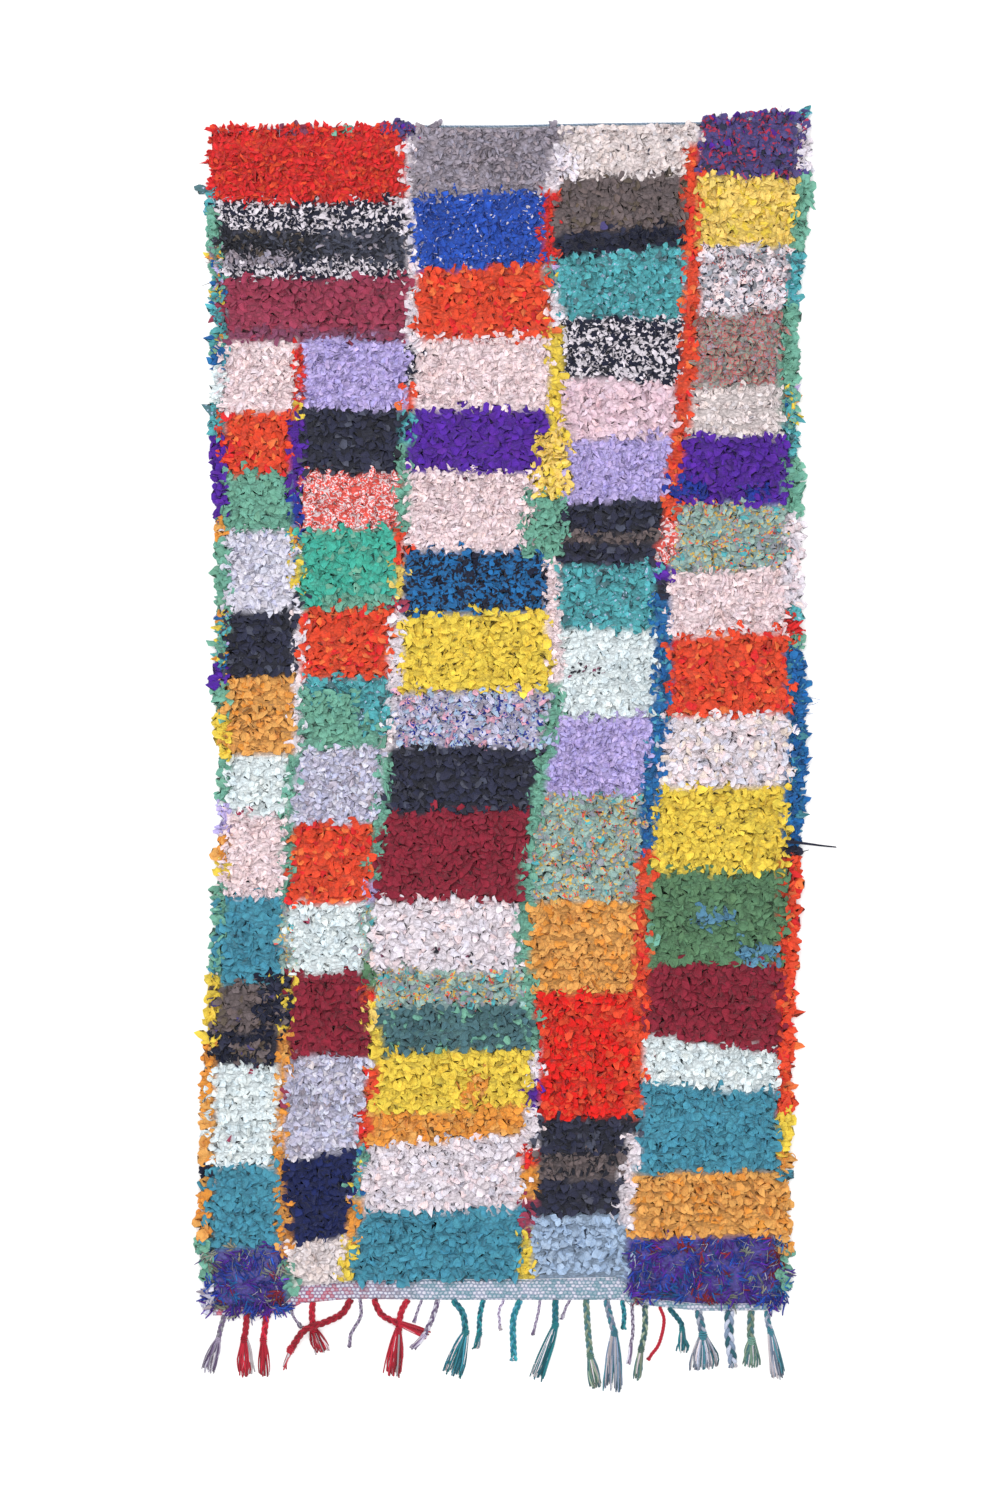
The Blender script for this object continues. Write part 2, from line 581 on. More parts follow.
# Tassel yarns: the dyes of the three plies, as the eye reads them.
PLY_DYES = {
    "crimson": ((178, 30, 52), (190, 40, 60), (160, 24, 44)),
    "teal": ((34, 122, 130), (24, 100, 118), (64, 140, 160)),
    "mauve": ((158, 146, 170), (110, 92, 128), (190, 186, 200)),
    "slate": ((60, 122, 138), (112, 128, 152), (170, 176, 194)),
    "moss": ((92, 128, 116), (144, 158, 138), (72, 112, 122)),
}

# The tassels. Columns: yarn, plait width, brush width (0 for a short stub), then the route from
# the band, each point across, along and lift. A brush starts at the last point but one.
TASSELS = (
    ("mauve", 0.009, 0.024, ((-0.513, -1.103, 0), (-0.520, -1.127, 0), (-0.525, -1.149, 0),
                             (-0.543, -1.208, 0))),
    ("crimson", 0.011, 0.027, ((-0.472, -1.101, 0), (-0.474, -1.127, 0), (-0.477, -1.147, 0),
                               (-0.475, -1.215, 0))),
    ("crimson", 0.011, 0.020, ((-0.436, -1.100, 0), (-0.439, -1.125, 0), (-0.442, -1.149, 0),
                               (-0.440, -1.215, 0))),
    ("mauve", 0.005, 0, ((-0.392, -1.090, 0), (-0.386, -1.108, 0), (-0.378, -1.118, 0))),
    ("crimson", 0.011, 0.026, ((-0.352, -1.080, 0), (-0.353, -1.105, 0), (-0.351, -1.128, 0),
                               (-0.333, -1.172, 0))),
    ("crimson", 0.012, 0.005, ((-0.282, -1.074, 0), (-0.298, -1.100, 0), (-0.328, -1.114, 0.013),
                               (-0.366, -1.129, 0.013), (-0.392, -1.166, 0),
                               (-0.406, -1.204, 0))),
    ("mauve", 0.006, 0, ((-0.265, -1.074, 0), (-0.264, -1.105, 0), (-0.281, -1.136, 0),
                         (-0.284, -1.153, 0))),
    ("crimson", 0.011, 0.015, ((-0.240, -1.074, 0), (-0.226, -1.101, 0.004),
                               (-0.198, -1.116, 0.010), (-0.140, -1.141, 0.010))),
    ("crimson", 0.011, 0.027, ((-0.178, -1.075, 0), (-0.190, -1.098, 0), (-0.195, -1.131, 0),
                               (-0.204, -1.215, 0))),
    ("mauve", 0.005, 0, ((-0.152, -1.076, 0), (-0.158, -1.090, 0), (-0.164, -1.108, 0))),
    ("mauve", 0.009, 0.009, ((-0.123, -1.076, 0), (-0.133, -1.109, 0), (-0.149, -1.142, 0),
                             (-0.170, -1.166, 0))),
    ("teal", 0.011, 0.037, ((-0.095, -1.076, 0), (-0.077, -1.100, 0), (-0.072, -1.135, 0),
                            (-0.097, -1.213, 0))),
    ("teal", 0.009, 0.011, ((-0.040, -1.076, 0), (-0.046, -1.105, 0), (-0.047, -1.138, 0),
                            (-0.054, -1.166, 0))),
    ("mauve", 0.005, 0, ((-0.002, -1.076, 0), (-0.011, -1.096, 0), (-0.009, -1.122, 0))),
    ("teal", 0.011, 0, ((0.027, -1.076, 0), (0.015, -1.113, 0), (0.016, -1.177, 0))),
    ("mauve", 0.005, 0, ((0.064, -1.076, 0), (0.061, -1.098, 0), (0.053, -1.131, 0))),
    ("teal", 0.011, 0.026, ((0.092, -1.076, 0), (0.092, -1.122, 0), (0.058, -1.219, 0))),
    ("mauve", 0.005, 0, ((0.119, -1.076, 0), (0.112, -1.088, 0), (0.107, -1.102, 0))),
    ("moss", 0.011, 0.022, ((0.148, -1.076, 0), (0.152, -1.136, 0), (0.156, -1.177, 0),
                            (0.167, -1.235, 0))),
    ("slate", 0.011, 0.034, ((0.185, -1.076, 0), (0.193, -1.109, 0), (0.200, -1.135, 0),
                             (0.197, -1.241, 0))),
    ("teal", 0.008, 0, ((0.214, -1.077, 0), (0.218, -1.100, 0), (0.217, -1.120, 0))),
    ("mauve", 0.006, 0.006, ((0.232, -1.081, 0), (0.234, -1.130, 0), (0.230, -1.160, 0),
                             (0.226, -1.196, 0))),
    ("moss", 0.010, 0.014, ((0.256, -1.086, 0), (0.256, -1.128, 0), (0.249, -1.166, 0),
                            (0.240, -1.224, 0))),
    ("crimson", 0.006, 0, ((0.283, -1.088, 0), (0.291, -1.114, 0), (0.282, -1.155, 0),
                           (0.266, -1.178, 0))),
    ("teal", 0.009, 0.015, ((0.300, -1.090, 0), (0.321, -1.116, 0), (0.324, -1.130, 0),
                            (0.326, -1.172, 0))),
    ("slate", 0.013, 0.044, ((0.353, -1.095, 0), (0.359, -1.122, 0), (0.362, -1.140, 0),
                             (0.364, -1.202, 0))),
    ("slate", 0.016, 0, ((0.410, -1.096, 0), (0.410, -1.144, 0), (0.417, -1.190, 0))),
    ("moss", 0.012, 0.028, ((0.450, -1.096, 0), (0.449, -1.136, 0), (0.451, -1.150, 0),
                            (0.450, -1.199, 0))),
    ("slate", 0.010, 0.024, ((0.479, -1.096, 0), (0.481, -1.116, 0), (0.486, -1.134, 0),
                             (0.501, -1.219, 0))),
)
# A plait: its step along the route, and its pitch, swing, rise and ply radius as shares of its
# width.
PLIES = 3
PLAIT_STEP = 0.0015
PLAIT_SIDES = 6
PLAIT_PITCH = 3.0
PLAIT_SWING = 0.33
PLAIT_RISE = 0.16
PLY_RADIUS = 0.24
# The knot below it, as shares of the plait's width: the radius of its turns at the ends and what
# is added in the middle, half its length, its height, its thread's radius and lowest place, and
# the flatness of the turns.
WRAP_HALF_TURNS = 7
WRAP_STEPS = 64
WRAP_SIDES = 5
WRAP_TURN = 0.34
WRAP_BULGE = 0.18
WRAP_HALF_LENGTH = 0.55
WRAP_LEVEL = 0.42
WRAP_FLATNESS = 0.75
WRAP_THREAD = 0.15
WRAP_LOWEST = 0.16
# A brush: how many yarns, how they thin, scatter, stretch, wave and lift, and its width at the
# knot as a share of that at its tip. Then the stub of a tassel without a knot.
LEAST_BRUSH_YARNS = 5
BRUSH_YARNS_PER_MM = 0.95
BRUSH_RADIUS = 0.0014
BRUSH_RADIUS_SPREAD = (0.8, 1.5)
BRUSH_TAPER = (1.25, 0.5)
BRUSH_STEPS = 6
BRUSH_SIDES = 4
BRUSH_SCATTER = 0.06
BRUSH_ROOT_SHARE = 0.3
BRUSH_ROOT_WIDEST = 0.008
BRUSH_STRETCH = (0.84, 1.04)
BRUSH_WAVE = 0.0019
BRUSH_WAVE_TURNS = (3, 8)
BRUSH_LIFT = (0.0008, 0.0052)
BRUSH_LEVEL = 0.0009
BRUSH_TIP_LIFT = 0.0022
STUB_LENGTH = 0.010
STUB_WIDTH_SHARE = 0.9
TASSEL_TINT = 0.28
PALE_YARN = (222, 212, 218)
PALE_SHARE = 0.20

# Loose threads at the sides and the heading. Columns: dye, radius, then points across, along
# and up.
STRAYS = (
    ("ink", 0.0034, ((0.512, -0.236, 0.018), (0.548, -0.240, 0.016), (0.578, -0.244, 0.009),
                     (0.606, -0.247, 0.004))),
    ("ink", 0.0016, ((0.520, -0.262, 0.016), (0.541, -0.256, 0.014), (0.556, -0.252, 0.008))),
    ("azure", 0.0008, ((0.530, 0.030, 0.015), (0.556, 0.027, 0.010), (0.578, 0.022, 0.003))),
    ("azure", 0.0008, ((0.530, 0.014, 0.015), (0.560, 0.013, 0.008), (0.575, 0.019, 0.003))),
    ("azure", 0.0007, ((0.528, 0.006, 0.015), (0.552, -0.003, 0.009), (0.566, -0.002, 0.003))),
    ("ink", 0.0009, ((-0.520, 0.786, 0.016), (-0.538, 0.784, 0.012), (-0.556, 0.779, 0.003))),
    ("orange", 0.0011, ((0.506, -0.812, 0.016), (0.524, -0.806, 0.014), (0.531, -0.816, 0.010),
                        (0.518, -0.826, 0.008), (0.508, -0.820, 0.012))),
    ("warm grey", 0.0006, ((0.392, 1.086, 0.018), (0.396, 1.099, 0.020), (0.391, 1.109, 0.016))),
    ("warm grey", 0.0006, ((0.502, 1.094, 0.018), (0.505, 1.110, 0.022), (0.500, 1.119, 0.016))),
    ("warm grey", 0.0006, ((-0.412, 1.050, 0.018), (-0.411, 1.066, 0.020), (-0.414, 1.076, 0.014))),
)
STRAY_STEP = 0.003
STRAY_TAPER = 0.6
THREAD_SIDES = 5

# Curves are worked out in this many steps between two given points.
CURVE_STEPS = 24

# Looks of the cloth. A pattern's size is across, along and up. An edge or span is the stretch of
# a noise over which something changes, and tones are what a colour is times at its two ends.
# CREASE_DETAIL: the detail and the roughness of the creases' noise.
CLOTH_ROUGHNESS = 0.88
CLOTH_SHEEN = 0.10
CLOTH_SPECULAR = 0.25
NOISE_SPAN = (0.3, 0.7)
FADE_SIZE = (0.011, 0.02, 1)
FADE_TONES = (0.86, 1.1)
STRAND_SIZE = (0.0017, 0.012, 1)
STRAND_EDGE = (0.25, 0.75)
STRAND_TONES = (0.84, 1.10)
CREASE_SIZE = (0.0032, 0.011, 1)
CREASE_DETAIL = (2.0, 0.55)
KNIT_SIZE = (0.0009, 0.0009, 1)
KNIT_SHARE = 0.12
CREASE_DEPTH = 0.0035

# Printed marks: how their cells wander, and their length for their width. Marks in groups: the
# groups' size and edge, what the rag's share is times between and inside them, and how many
# marks have the second colour.
MARK_WANDER = (0.006, 0.006, 1)
MARK_STRETCH = 1.3
MARK_GROUP = (0.017, 0.015, 1)
MARK_GROUP_EDGE = (0.51, 0.58)
GROUPED_SHARES = (0.10, 2.3)
SECOND_MARK_SHARE = 0.4

# Spun yarn: the length of a twist, and how its fuzz and its plies show. PLY_DEPTH is a share of
# the twist.
PILE_TWIST = 0.004
TASSEL_TWIST = 0.0032
FUZZ_SIZE = (0.0005, 0.002, 1)
PLY_WAVE = 0.35
PLY_EDGE = (0.1, 0.9)
PLY_TONES = (0.72, 1.12)
PLY_DEPTH = 0.22

# The ground: its wefts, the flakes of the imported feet, their printed marks and the bare places.
GROUND_DYES = ((70, 52, 74), (44, 62, 78), (104, 96, 112))
GROUND_GRID = (72, 148)
WEFT_SIZE = (0.05, 0.006, 1)
WEFT_EDGE = (0.42, 0.58)
FLECK_SIZE = (0.004, 0.002, 1)
FLECK_EDGE = (0.55, 0.66)
FLECK_SHARE = 0.7
FLAKE_SIZE = (0.009, 0.007, 1)
FLAKE_WANDER = (0.02, 0.02, 1)
FLAKE_SPAN = (0.1, 0.75)
FLAKE_TONES = (0.86, 1.12)
FLAKE_RIM = (0.0, 0.5)
FLAKE_RIM_TONES = (0.72, 1.0)
FLAKE_DEPTH = 0.006
MARK_SIZE = (0.006, 0.005, 1)
BARE_SIZE = (0.02, 0.008, 1)
BARE_EDGE = (0.62, 0.70)
BARE_SHARE = 0.35

# The end band. A stitch is BAND_RIB across and BAND_ROW along, stands up by BAND_STITCH and has
# a pale oval of radius BAND_OVAL in it. BAND_RED_PART is where the red side gives way to teal,
# and BAND_SHOWN by what chance and how much of the pale shows. BAND_SPAN: where its depth is
# measured for its area.
BAND_HEIGHT = 0.0052
BAND_STITCH = 0.0008
BAND_GAP = 0.0005
BAND_RIB = 0.0078
BAND_ROW = 0.0064
BAND_OVAL = 0.42
BAND_OVAL_EDGE = (-0.08, 0.04)
BAND_WOBBLE = (0.017, 0.012, 1)
BAND_FUZZ_SIZE = (0.0012, 0.0006, 0.001)
BAND_FUZZ = 0.3
BAND_DEPTH = 0.0016
BAND_WARM_EDGE = (0.3, 0.5)
BAND_COOL_EDGE = (0.3, 0.8)
BAND_SHOWN = (0.0, 0.7, 0.15, 0.95)
BAND_RED_PART = (-0.36, -0.14)
BAND_GRID = (620, 12)
BAND_DYES = ((184, 66, 92), (150, 124, 154), (104, 142, 158), (150, 156, 180), (206, 206, 220))

# The heading: two threads, their ends, how far below the outer edge they run, their radius, and
# the lift of their middle and length of their twist.
HEADING_DYES = ((160, 176, 196), (120, 142, 166))
HEADING_ENDS = (-0.536, 0.543)
HEADING_INSET = 0.0028
HEADING_RADIUS = 0.0013
HEADING_LIFT = 2.1
HEADING_TWIST = 0.009
HEADING_STEPS = 620

# Camera, floor and light. Columns of the lights: name, place, side and power in watts.
CAMERA_PLACE = (-0.0082, -0.0695, 7.625)
CAMERA_LENS = 100
SENSOR_WIDTH = 36
CAMERA_FAR = 60
FLOOR_HALF = 6.0
FLOOR_CLOUD = (1.5, 1.5, 1)
FLOOR_TONES = (0.985, 1.0)
WORLD_STRENGTH = 0.90
LIGHTS = (
    ("key", (-1.6, 1.8, 4.2), 2.2, 84),
    ("fill", (0.6, -0.4, 5.2), 3.2, 100),
)


def table_at(table, where, column):
    """One column of a table at an array of places, straight between its rows."""
    order = np.argsort(table[:, 0])
    return np.interp(where, table[order, 0], table[order, column])


def side_edge(y, column):
    """Across place of the rug's left (column 1) or right (column 2) edge beside each place y."""
    return table_at(SIDE_EDGES_CM, y / CM, column) * CM


def top_edge(x):
    """Along place of the heading's outer edge above each place x."""
    return table_at(TOP_EDGE_CM, x / CM, 1) * CM


def end_edge(x, column):
    """Along place of the pile's lower edge (column 1) or the end band's (column 2) below x."""
    return table_at(END_EDGES_CM, x / CM, column) * CM


def linear(dye):
    """A dye's red, green and blue as light: ((value / 255 + 0.055) / 1.055) to the power 2.4."""
    return ((np.asarray(dye, float) / 255 + 0.055) / 1.055) ** 2.4


def smooth_path(points, step):
    """An even run of points on the curve through given ones. Between points b and c, with
    neighbours a and d, place = (2b + (c - a)t + (2a - 5b + 4c - d)t^2 + (3b - a - 3c + d)t^3) / 2.
    """
    points = np.asarray(points, float)
    ends = np.vstack((2 * points[0] - points[1], points, 2 * points[-1] - points[-2]))
    a, b, c, d = (ends[i:len(ends) - 3 + i, None, :] for i in range(4))
    t = np.linspace(0, 1, CURVE_STEPS, endpoint=False)[None, :, None]
    cubic = 2 * b + (c - a) * t + (2 * a - 5 * b + 4 * c - d) * t**2
    cubic = (cubic + (3 * b - a - 3 * c + d) * t**3) / 2
    curve = np.vstack((cubic.reshape(-1, 3), points[-1:]))
    reach = np.concatenate(([0], np.cumsum(np.linalg.norm(np.diff(curve, axis=0), axis=1))))
    count = max(3, int(round(reach[-1] / step)) + 1)
    even = np.linspace(0, reach[-1], count)
    return np.stack([np.interp(even, reach, curve[:, axis]) for axis in range(3)], axis=1)


def directions(paths):
    """Unit directions along paths, and the unit sideways ones: direction x up."""
    ahead = np.gradient(paths, axis=-2)
    ahead /= np.linalg.norm(ahead, axis=-1, keepdims=True)
    sideways = np.stack((ahead[..., 1], -ahead[..., 0], np.zeros(ahead.shape[:-1])), axis=-1)
    sideways /= np.maximum(np.linalg.norm(sideways, axis=-1, keepdims=True), 1e-9)
    return ahead, sideways


def bake_cells(count, corner_u, corner_v):
    """Places in the unit square for the corners of many alike patches, one square cell each."""
    columns = math.ceil(math.sqrt(count))
    rows = math.ceil(count / columns)
    margin = 0.05
    cell = np.arange(count)
    extra = (1,) * corner_u.ndim
    left = (cell % columns).reshape(-1, *extra)
    low = (cell // columns).reshape(-1, *extra)
    across = (left + margin + (1 - 2 * margin) * corner_u) / columns
    upward = (low + margin + (1 - 2 * margin) * corner_v) / rows
    return np.stack((across, upward), axis=-1)


def paint(mesh, layer_name, colours):
    """Gives each point of a mesh a colour with its fourth value, under the layer's name."""
    layer = mesh.color_attributes.new(layer_name, "FLOAT_COLOR", "POINT")
    layer.data.foreach_set("color", np.asarray(colours, np.float32).ravel())


def mesh_piece(name, points, faces, uvs, dyes=None):
    """A piece from points, groups of faces with equal corner counts, corner UVs and point dyes."""
    mesh = bpy.data.meshes.new(name)
    sizes = np.concatenate([np.full(len(group), group.shape[1]) for group in faces])
    corners = np.concatenate([group.ravel() for group in faces])
    mesh.vertices.add(len(points))
    mesh.vertices.foreach_set("co", np.asarray(points, np.float32).ravel())
    mesh.loops.add(len(corners))
    mesh.loops.foreach_set("vertex_index", corners.astype(np.int32))
    mesh.polygons.add(len(sizes))
    starts = np.concatenate(([0], np.cumsum(sizes)[:-1]))
    mesh.polygons.foreach_set("loop_start", starts.astype(np.int32))
    mesh.polygons.foreach_set("use_smooth", np.ones(len(sizes), bool))
    mesh.update(calc_edges=True)
    for layer, places in uvs.items():
        mesh.uv_layers.new(name=layer)
        mesh.uv_layers[layer].data.foreach_set("uv", np.asarray(places, np.float32).ravel())
    if dyes is not None:
        paint(mesh, "dye", np.insert(dyes, 3, 1, axis=1))
    mesh.validate()
    piece = bpy.data.objects.new(name, mesh)
    bpy.context.scene.collection.objects.link(piece)
    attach(piece, "root")
    return piece


def tubes(paths, radii, sides, dyes):
    """Tubes with closed ends: point = path + radius (sideways cos a + upward sin a).

    paths is (tubes, steps, 3), radii (tubes, steps), dyes (tubes, 3). It gives points, faces,
    UVs and point dyes for mesh_piece; weave runs round and along in metres.
    """
    count, steps = radii.shape
    ahead, sideways = directions(paths)
    upward = np.cross(sideways, ahead)
    angle = np.linspace(0, 2 * math.pi, sides, endpoint=False)
    ring = sideways[:, :, None] * np.cos(angle)[:, None]
    ring = ring + upward[:, :, None] * np.sin(angle)[:, None]
    points = (paths[:, :, None] + radii[:, :, None, None] * ring).reshape(-1, 3)
    index = np.arange(count * steps * sides).reshape(count, steps, sides)
    after = np.roll(index, -1, axis=2)
    quads = np.stack((index[:, :-1], index[:, 1:], after[:, 1:], after[:, :-1]), axis=-1)
    caps = np.concatenate((index[:, 0], index[:, -1, ::-1]))
    travelled = np.linalg.norm(np.diff(paths, axis=1), axis=2).cumsum(axis=1)
    travelled = np.concatenate((np.zeros((count, 1)), travelled), axis=1)
    round_u = (np.arange(sides)[:, None] + np.array((0, 0, 1, 1))) / sides
    run = np.arange(steps - 1)[:, None] + np.array((0, 1, 1, 0))
    round_u, run = np.broadcast_arrays(round_u[None], run[:, None])
    girth = 2 * math.pi * radii.max()
    along_m = travelled[:, run]
    weave = np.stack((np.broadcast_to(round_u * girth, along_m.shape), along_m), axis=-1)
    # In a tube's own cell of the bake square its side takes the lower part, and its two caps
    # lie side by side above it.
    tail = 0.94
    cap_width = 0.4
    spin = np.stack((0.5 + 0.5 * np.cos(angle), 0.5 + 0.5 * np.sin(angle)), axis=-1)
    cap_v = tail + 0.01 + (0.98 - tail) * spin[:, 1]
    cells = bake_cells(count, round_u, tail * run / (steps - 1))
    cap_low = bake_cells(count, cap_width * spin[:, 0], cap_v)
    cap_high = bake_cells(count, 0.5 + cap_width * spin[::-1, 0], cap_v[::-1])
    cap_weave = np.concatenate((spin, spin[::-1])) * radii.max()
    cap_weave = np.broadcast_to(cap_weave.reshape(2, 1, sides, 2), (2, count, sides, 2))
    uvs = {
        "weave": np.concatenate((weave.reshape(-1, 2), cap_weave.reshape(-1, 2))),
        "OFBake": np.concatenate([part.reshape(-1, 2) for part in (cells, cap_low, cap_high)]),
    }
    point_dyes = np.repeat(dyes, steps * sides, axis=0)
    return points, [quads.reshape(-1, 4), caps], uvs, point_dyes


def joined(parts):
    """Several results of tubes as one: faces count on from the points before, and each part's
    share of the bake square is a strip as wide as its share of the quads."""
    points, quads, caps, dyes = [], [], [], []
    layers = {"weave": ([], []), "OFBake": ([], [])}
    weights = np.array([len(part[1][0]) for part in parts], float)
    starts = np.concatenate(([0], np.cumsum(weights / weights.sum())))
    offset = 0
    for part, low, high in zip(parts, starts[:-1], starts[1:]):
        part_points, (part_quads, part_caps), uvs, part_dyes = part
        points.append(part_points)
        quads.append(part_quads + offset)
        caps.append(part_caps + offset)
        dyes.append(part_dyes)
        offset += len(part_points)
        split = part_quads.size
        squeezed = uvs["OFBake"] * (high - low, 1) + (low, 0)
        for layer, places in (("weave", uvs["weave"]), ("OFBake", squeezed)):
            layers[layer][0].append(places[:split])
            layers[layer][1].append(places[split:])
    uvs = {layer: np.concatenate(sides + ends) for layer, (sides, ends) in layers.items()}
    cap_sizes = sorted({group.shape[1] for group in caps})
    groups = [np.concatenate(quads)]
    groups += [np.concatenate([g for g in caps if g.shape[1] == size]) for size in cap_sizes]
    return np.concatenate(points), groups, uvs, np.concatenate(dyes)


def boundary(name, y, toward):
    """Across place where a column ends at a stripe or a side edge; toward is +1 for the column
    on its right and -1 for the one on its left."""
    if name in STRIPE_LINES_CM:
        return (table_at(STRIPE_LINES_CM[name], y / CM, 1) + toward * STRIPE_HALF_CM[name]) * CM
    column = 1 if name == "left" else 2
    return side_edge(y, column) + toward * table_at(SIDE_INSET_CM, y / CM, column) * CM


def block_knots(blocks, top, left, right, rng):
    """Places of the knots of a column, by rag: rows level with each block's sides, evenly along
    each row with a slight scatter."""
    found = []
    level_top = top * CM
    tilt_before = 0.0
    for rag, height, tilt in blocks:
        height *= CM
        rows = max(1, round(height / ROW_PITCH))
        for row in range(rows):
            share = (row + 0.5) / rows
            level = level_top - share * height
            low = boundary(left, level, 1)
            high = boundary(right, level, -1)
            count = max(2, round((high - low) / KNOT_PITCH))
            jitter = rng.uniform(-KNOT_JITTER, KNOT_JITTER, count)
            place = (np.arange(count) + 0.5 + jitter) / count
            slope = ((1 - share) * tilt_before + share * tilt) * CM
            x = low + place * (high - low)
            y = level + slope * (place - 0.5) + rng.normal(0, ROW_WAVE / 2, count)
            y += ROW_WAVE * np.sin(x / ROW_WAVE_RADIAN + level * ROW_WAVE_SHIFT)
            found.append((rag, np.stack((x, y), axis=1)))
        level_top -= height
        tilt_before = tilt
    return found


def stripe_knots(name, top, runs, rng):
    """Places and classes of the knots of a narrow stripe, by rag: a zigzag down its centre line,
    or at a side a row that reaches over the edge and a loose row between it and the edge."""
    found = []
    level = top * CM
    for rag, length in runs:
        length *= CM
        count = max(1, round(length / STRIPE_KNOT_PITCH))
        y = level - (np.arange(count) + 0.5) / count * length
        if name in STRIPE_LINES_CM:
            x = table_at(STRIPE_LINES_CM[name], y / CM, 1) * CM
            spread = STRIPE_HALF_CM[name] * CM * STRIPE_ZIGZAG
            x += spread * np.where(np.arange(count) % 2, 1, -1)
            x += rng.normal(0, STRIPE_SCATTER, count)
            found.append((rag, np.stack((x, y, np.full(count, IN_STRIPE)), axis=1)))
        else:
            column, inward, kind = (1, 1, LEFT_RIM) if name == "left" else (2, -1, RIGHT_RIM)
            inset = table_at(SIDE_INSET_CM, y / CM, column) * CM
            reach = inward * np.maximum(inset - RIM_KNOT_SPARE, RIM_KNOT_IN)
            rim = side_edge(y, column) + reach
            between = side_edge(y, column) + reach * LOOSE_ROW_SHARE
            kept = (inset > NARROW_STRIPE) | (np.arange(count) % 2 == 0)
            rim_row = np.stack((rim, y, np.full(count, kind)), axis=1)
            loose_row = np.stack((between, y, np.full(count, IN_STRIPE)), axis=1)
            found += [(rag, rim_row[kept]), (rag, loose_row[kept])]
        level -= length
    return found


def inside(places, patch):
    """Which places lie in a small patch of another rag."""
    _, left, right, top, bottom = patch
    x, y = places[:, 0] / CM, places[:, 1] / CM
    return (x > left) & (x < right) & (y < top) & (y > bottom)


def chart():
    """Every knot of the rug: rag name to an array of place across, along, and the direction
    class: it hangs down its block, lies loose in a stripe, or reaches over a side edge."""
    rng = np.random.default_rng(CHART_SEED)
    found = {}
    for blocks, top, left, right in COLUMNS:
        for rag, places in block_knots(blocks, top, left, right, rng):
            for patch in PATCHES_CM:
                places = places[~inside(places, patch)]
            found.setdefault(rag, []).append(np.insert(places, 2, IN_BLOCK, axis=1))
    for rag, left, right, top, bottom in PATCHES_CM:
        pitch_x, pitch_y = PATCH_PITCH_CM
        x, y = np.meshgrid(np.arange(left, right, pitch_x), np.arange(bottom, top, pitch_y))
        places = np.stack((x.ravel(), y.ravel(), np.full(x.size, IN_BLOCK)), axis=1)
        found.setdefault(rag, []).append(places * (CM, CM, 1))
    for name, (top, runs) in STRIPES.items():
        for rag, places in stripe_knots(name, top, runs, rng):
            found.setdefault(rag, []).append(places)
    return {rag: np.concatenate(groups) for rag, groups in found.items()}


def rag_end_faces(along):
    """Corners of one rag end: a front grid and a back grid that share their rim.

    It gives the corner indices of the faces, the step across and along of each corner, and
    which places of the grid lie inside the rim.
    """
    columns, rows = len(ACROSS), len(along)
    front = np.arange(rows * columns).reshape(rows, columns)
    middle = np.zeros(front.shape, bool)
    middle[1:-1, 1:-1] = True
    back = front.copy()
    back[middle] = front.size + np.arange(middle.sum())
    v, u = np.meshgrid(np.arange(rows - 1), np.arange(columns - 1), indexing="ij")
    v, u = v.ravel()[:, None], u.ravel()[:, None]
    corner_v = v + np.array((0, 0, 1, 1))
    corner_u = u + np.array((0, 1, 1, 0))
    faces = np.concatenate((front[corner_v, corner_u], back[corner_v, corner_u][:, ::-1]))
    steps_u = np.concatenate((corner_u, corner_u[:, ::-1]))
    steps_v = np.concatenate((corner_v, corner_v[:, ::-1]))
    return faces, steps_u, steps_v, middle


def near_heading(knots):
    """Which knots lie in the top two rows, and which below the part of the heading that is bare."""
    near = knots[:, 1] > top_edge(knots[:, 0]) - 2 * ROW_PITCH
    return near, (knots[:, 0] > BARE_HEADING[0]) & (knots[:, 0] < BARE_HEADING[1])


def ways_to_fall(knots, in_rows, rng):
    """The direction on the floor that each end falls in, and which ends lie beside an edge.

    In a block most fall down the rug, to its left or right by a spread, at the top and in the
    stripes any way, and at a side outward.
    """
    count = len(knots)
    kind = knots[:, 2].astype(int)
    hang = rng.choice((-1, 1), count) * RAG_SPLIT + rng.normal(0, RAG_LEAN, count)
    hang *= ROWED_LEAN if in_rows else 1
    loose = rng.random(count) < (ROWED_RANDOM_SHARE if in_rows else RANDOM_SHARE)
    aim = np.where(loose, rng.uniform(0, 2 * math.pi, count), hang - math.pi / 2)
    near_top, bare = near_heading(knots)
    level_at_top = np.clip(hang, -WIDEST_TURN_AT_HEADING, WIDEST_TURN_AT_HEADING) - math.pi / 2
    over_top = rng.uniform(0, 2 * math.pi, count)
    aim = np.where(near_top, np.where(bare, level_at_top, over_top), aim)
    aim = np.where(kind == IN_STRIPE, rng.uniform(0, 2 * math.pi, count), aim)
    from_left = knots[:, 0] - side_edge(knots[:, 1], 1)
    from_right = side_edge(knots[:, 1], 2) - knots[:, 0]
    outward = np.where(from_left < from_right, math.pi, 0) + rng.normal(0, OUTWARD_LEAN, count)
    beside = (kind == IN_BLOCK) & (np.minimum(from_left, from_right) < SIDE_REACH)
    aim = np.where((kind >= LEFT_RIM) | beside & (rng.random(count) < OUTWARD_SHARE), outward, aim)
    return aim, beside | near_top & ~bare


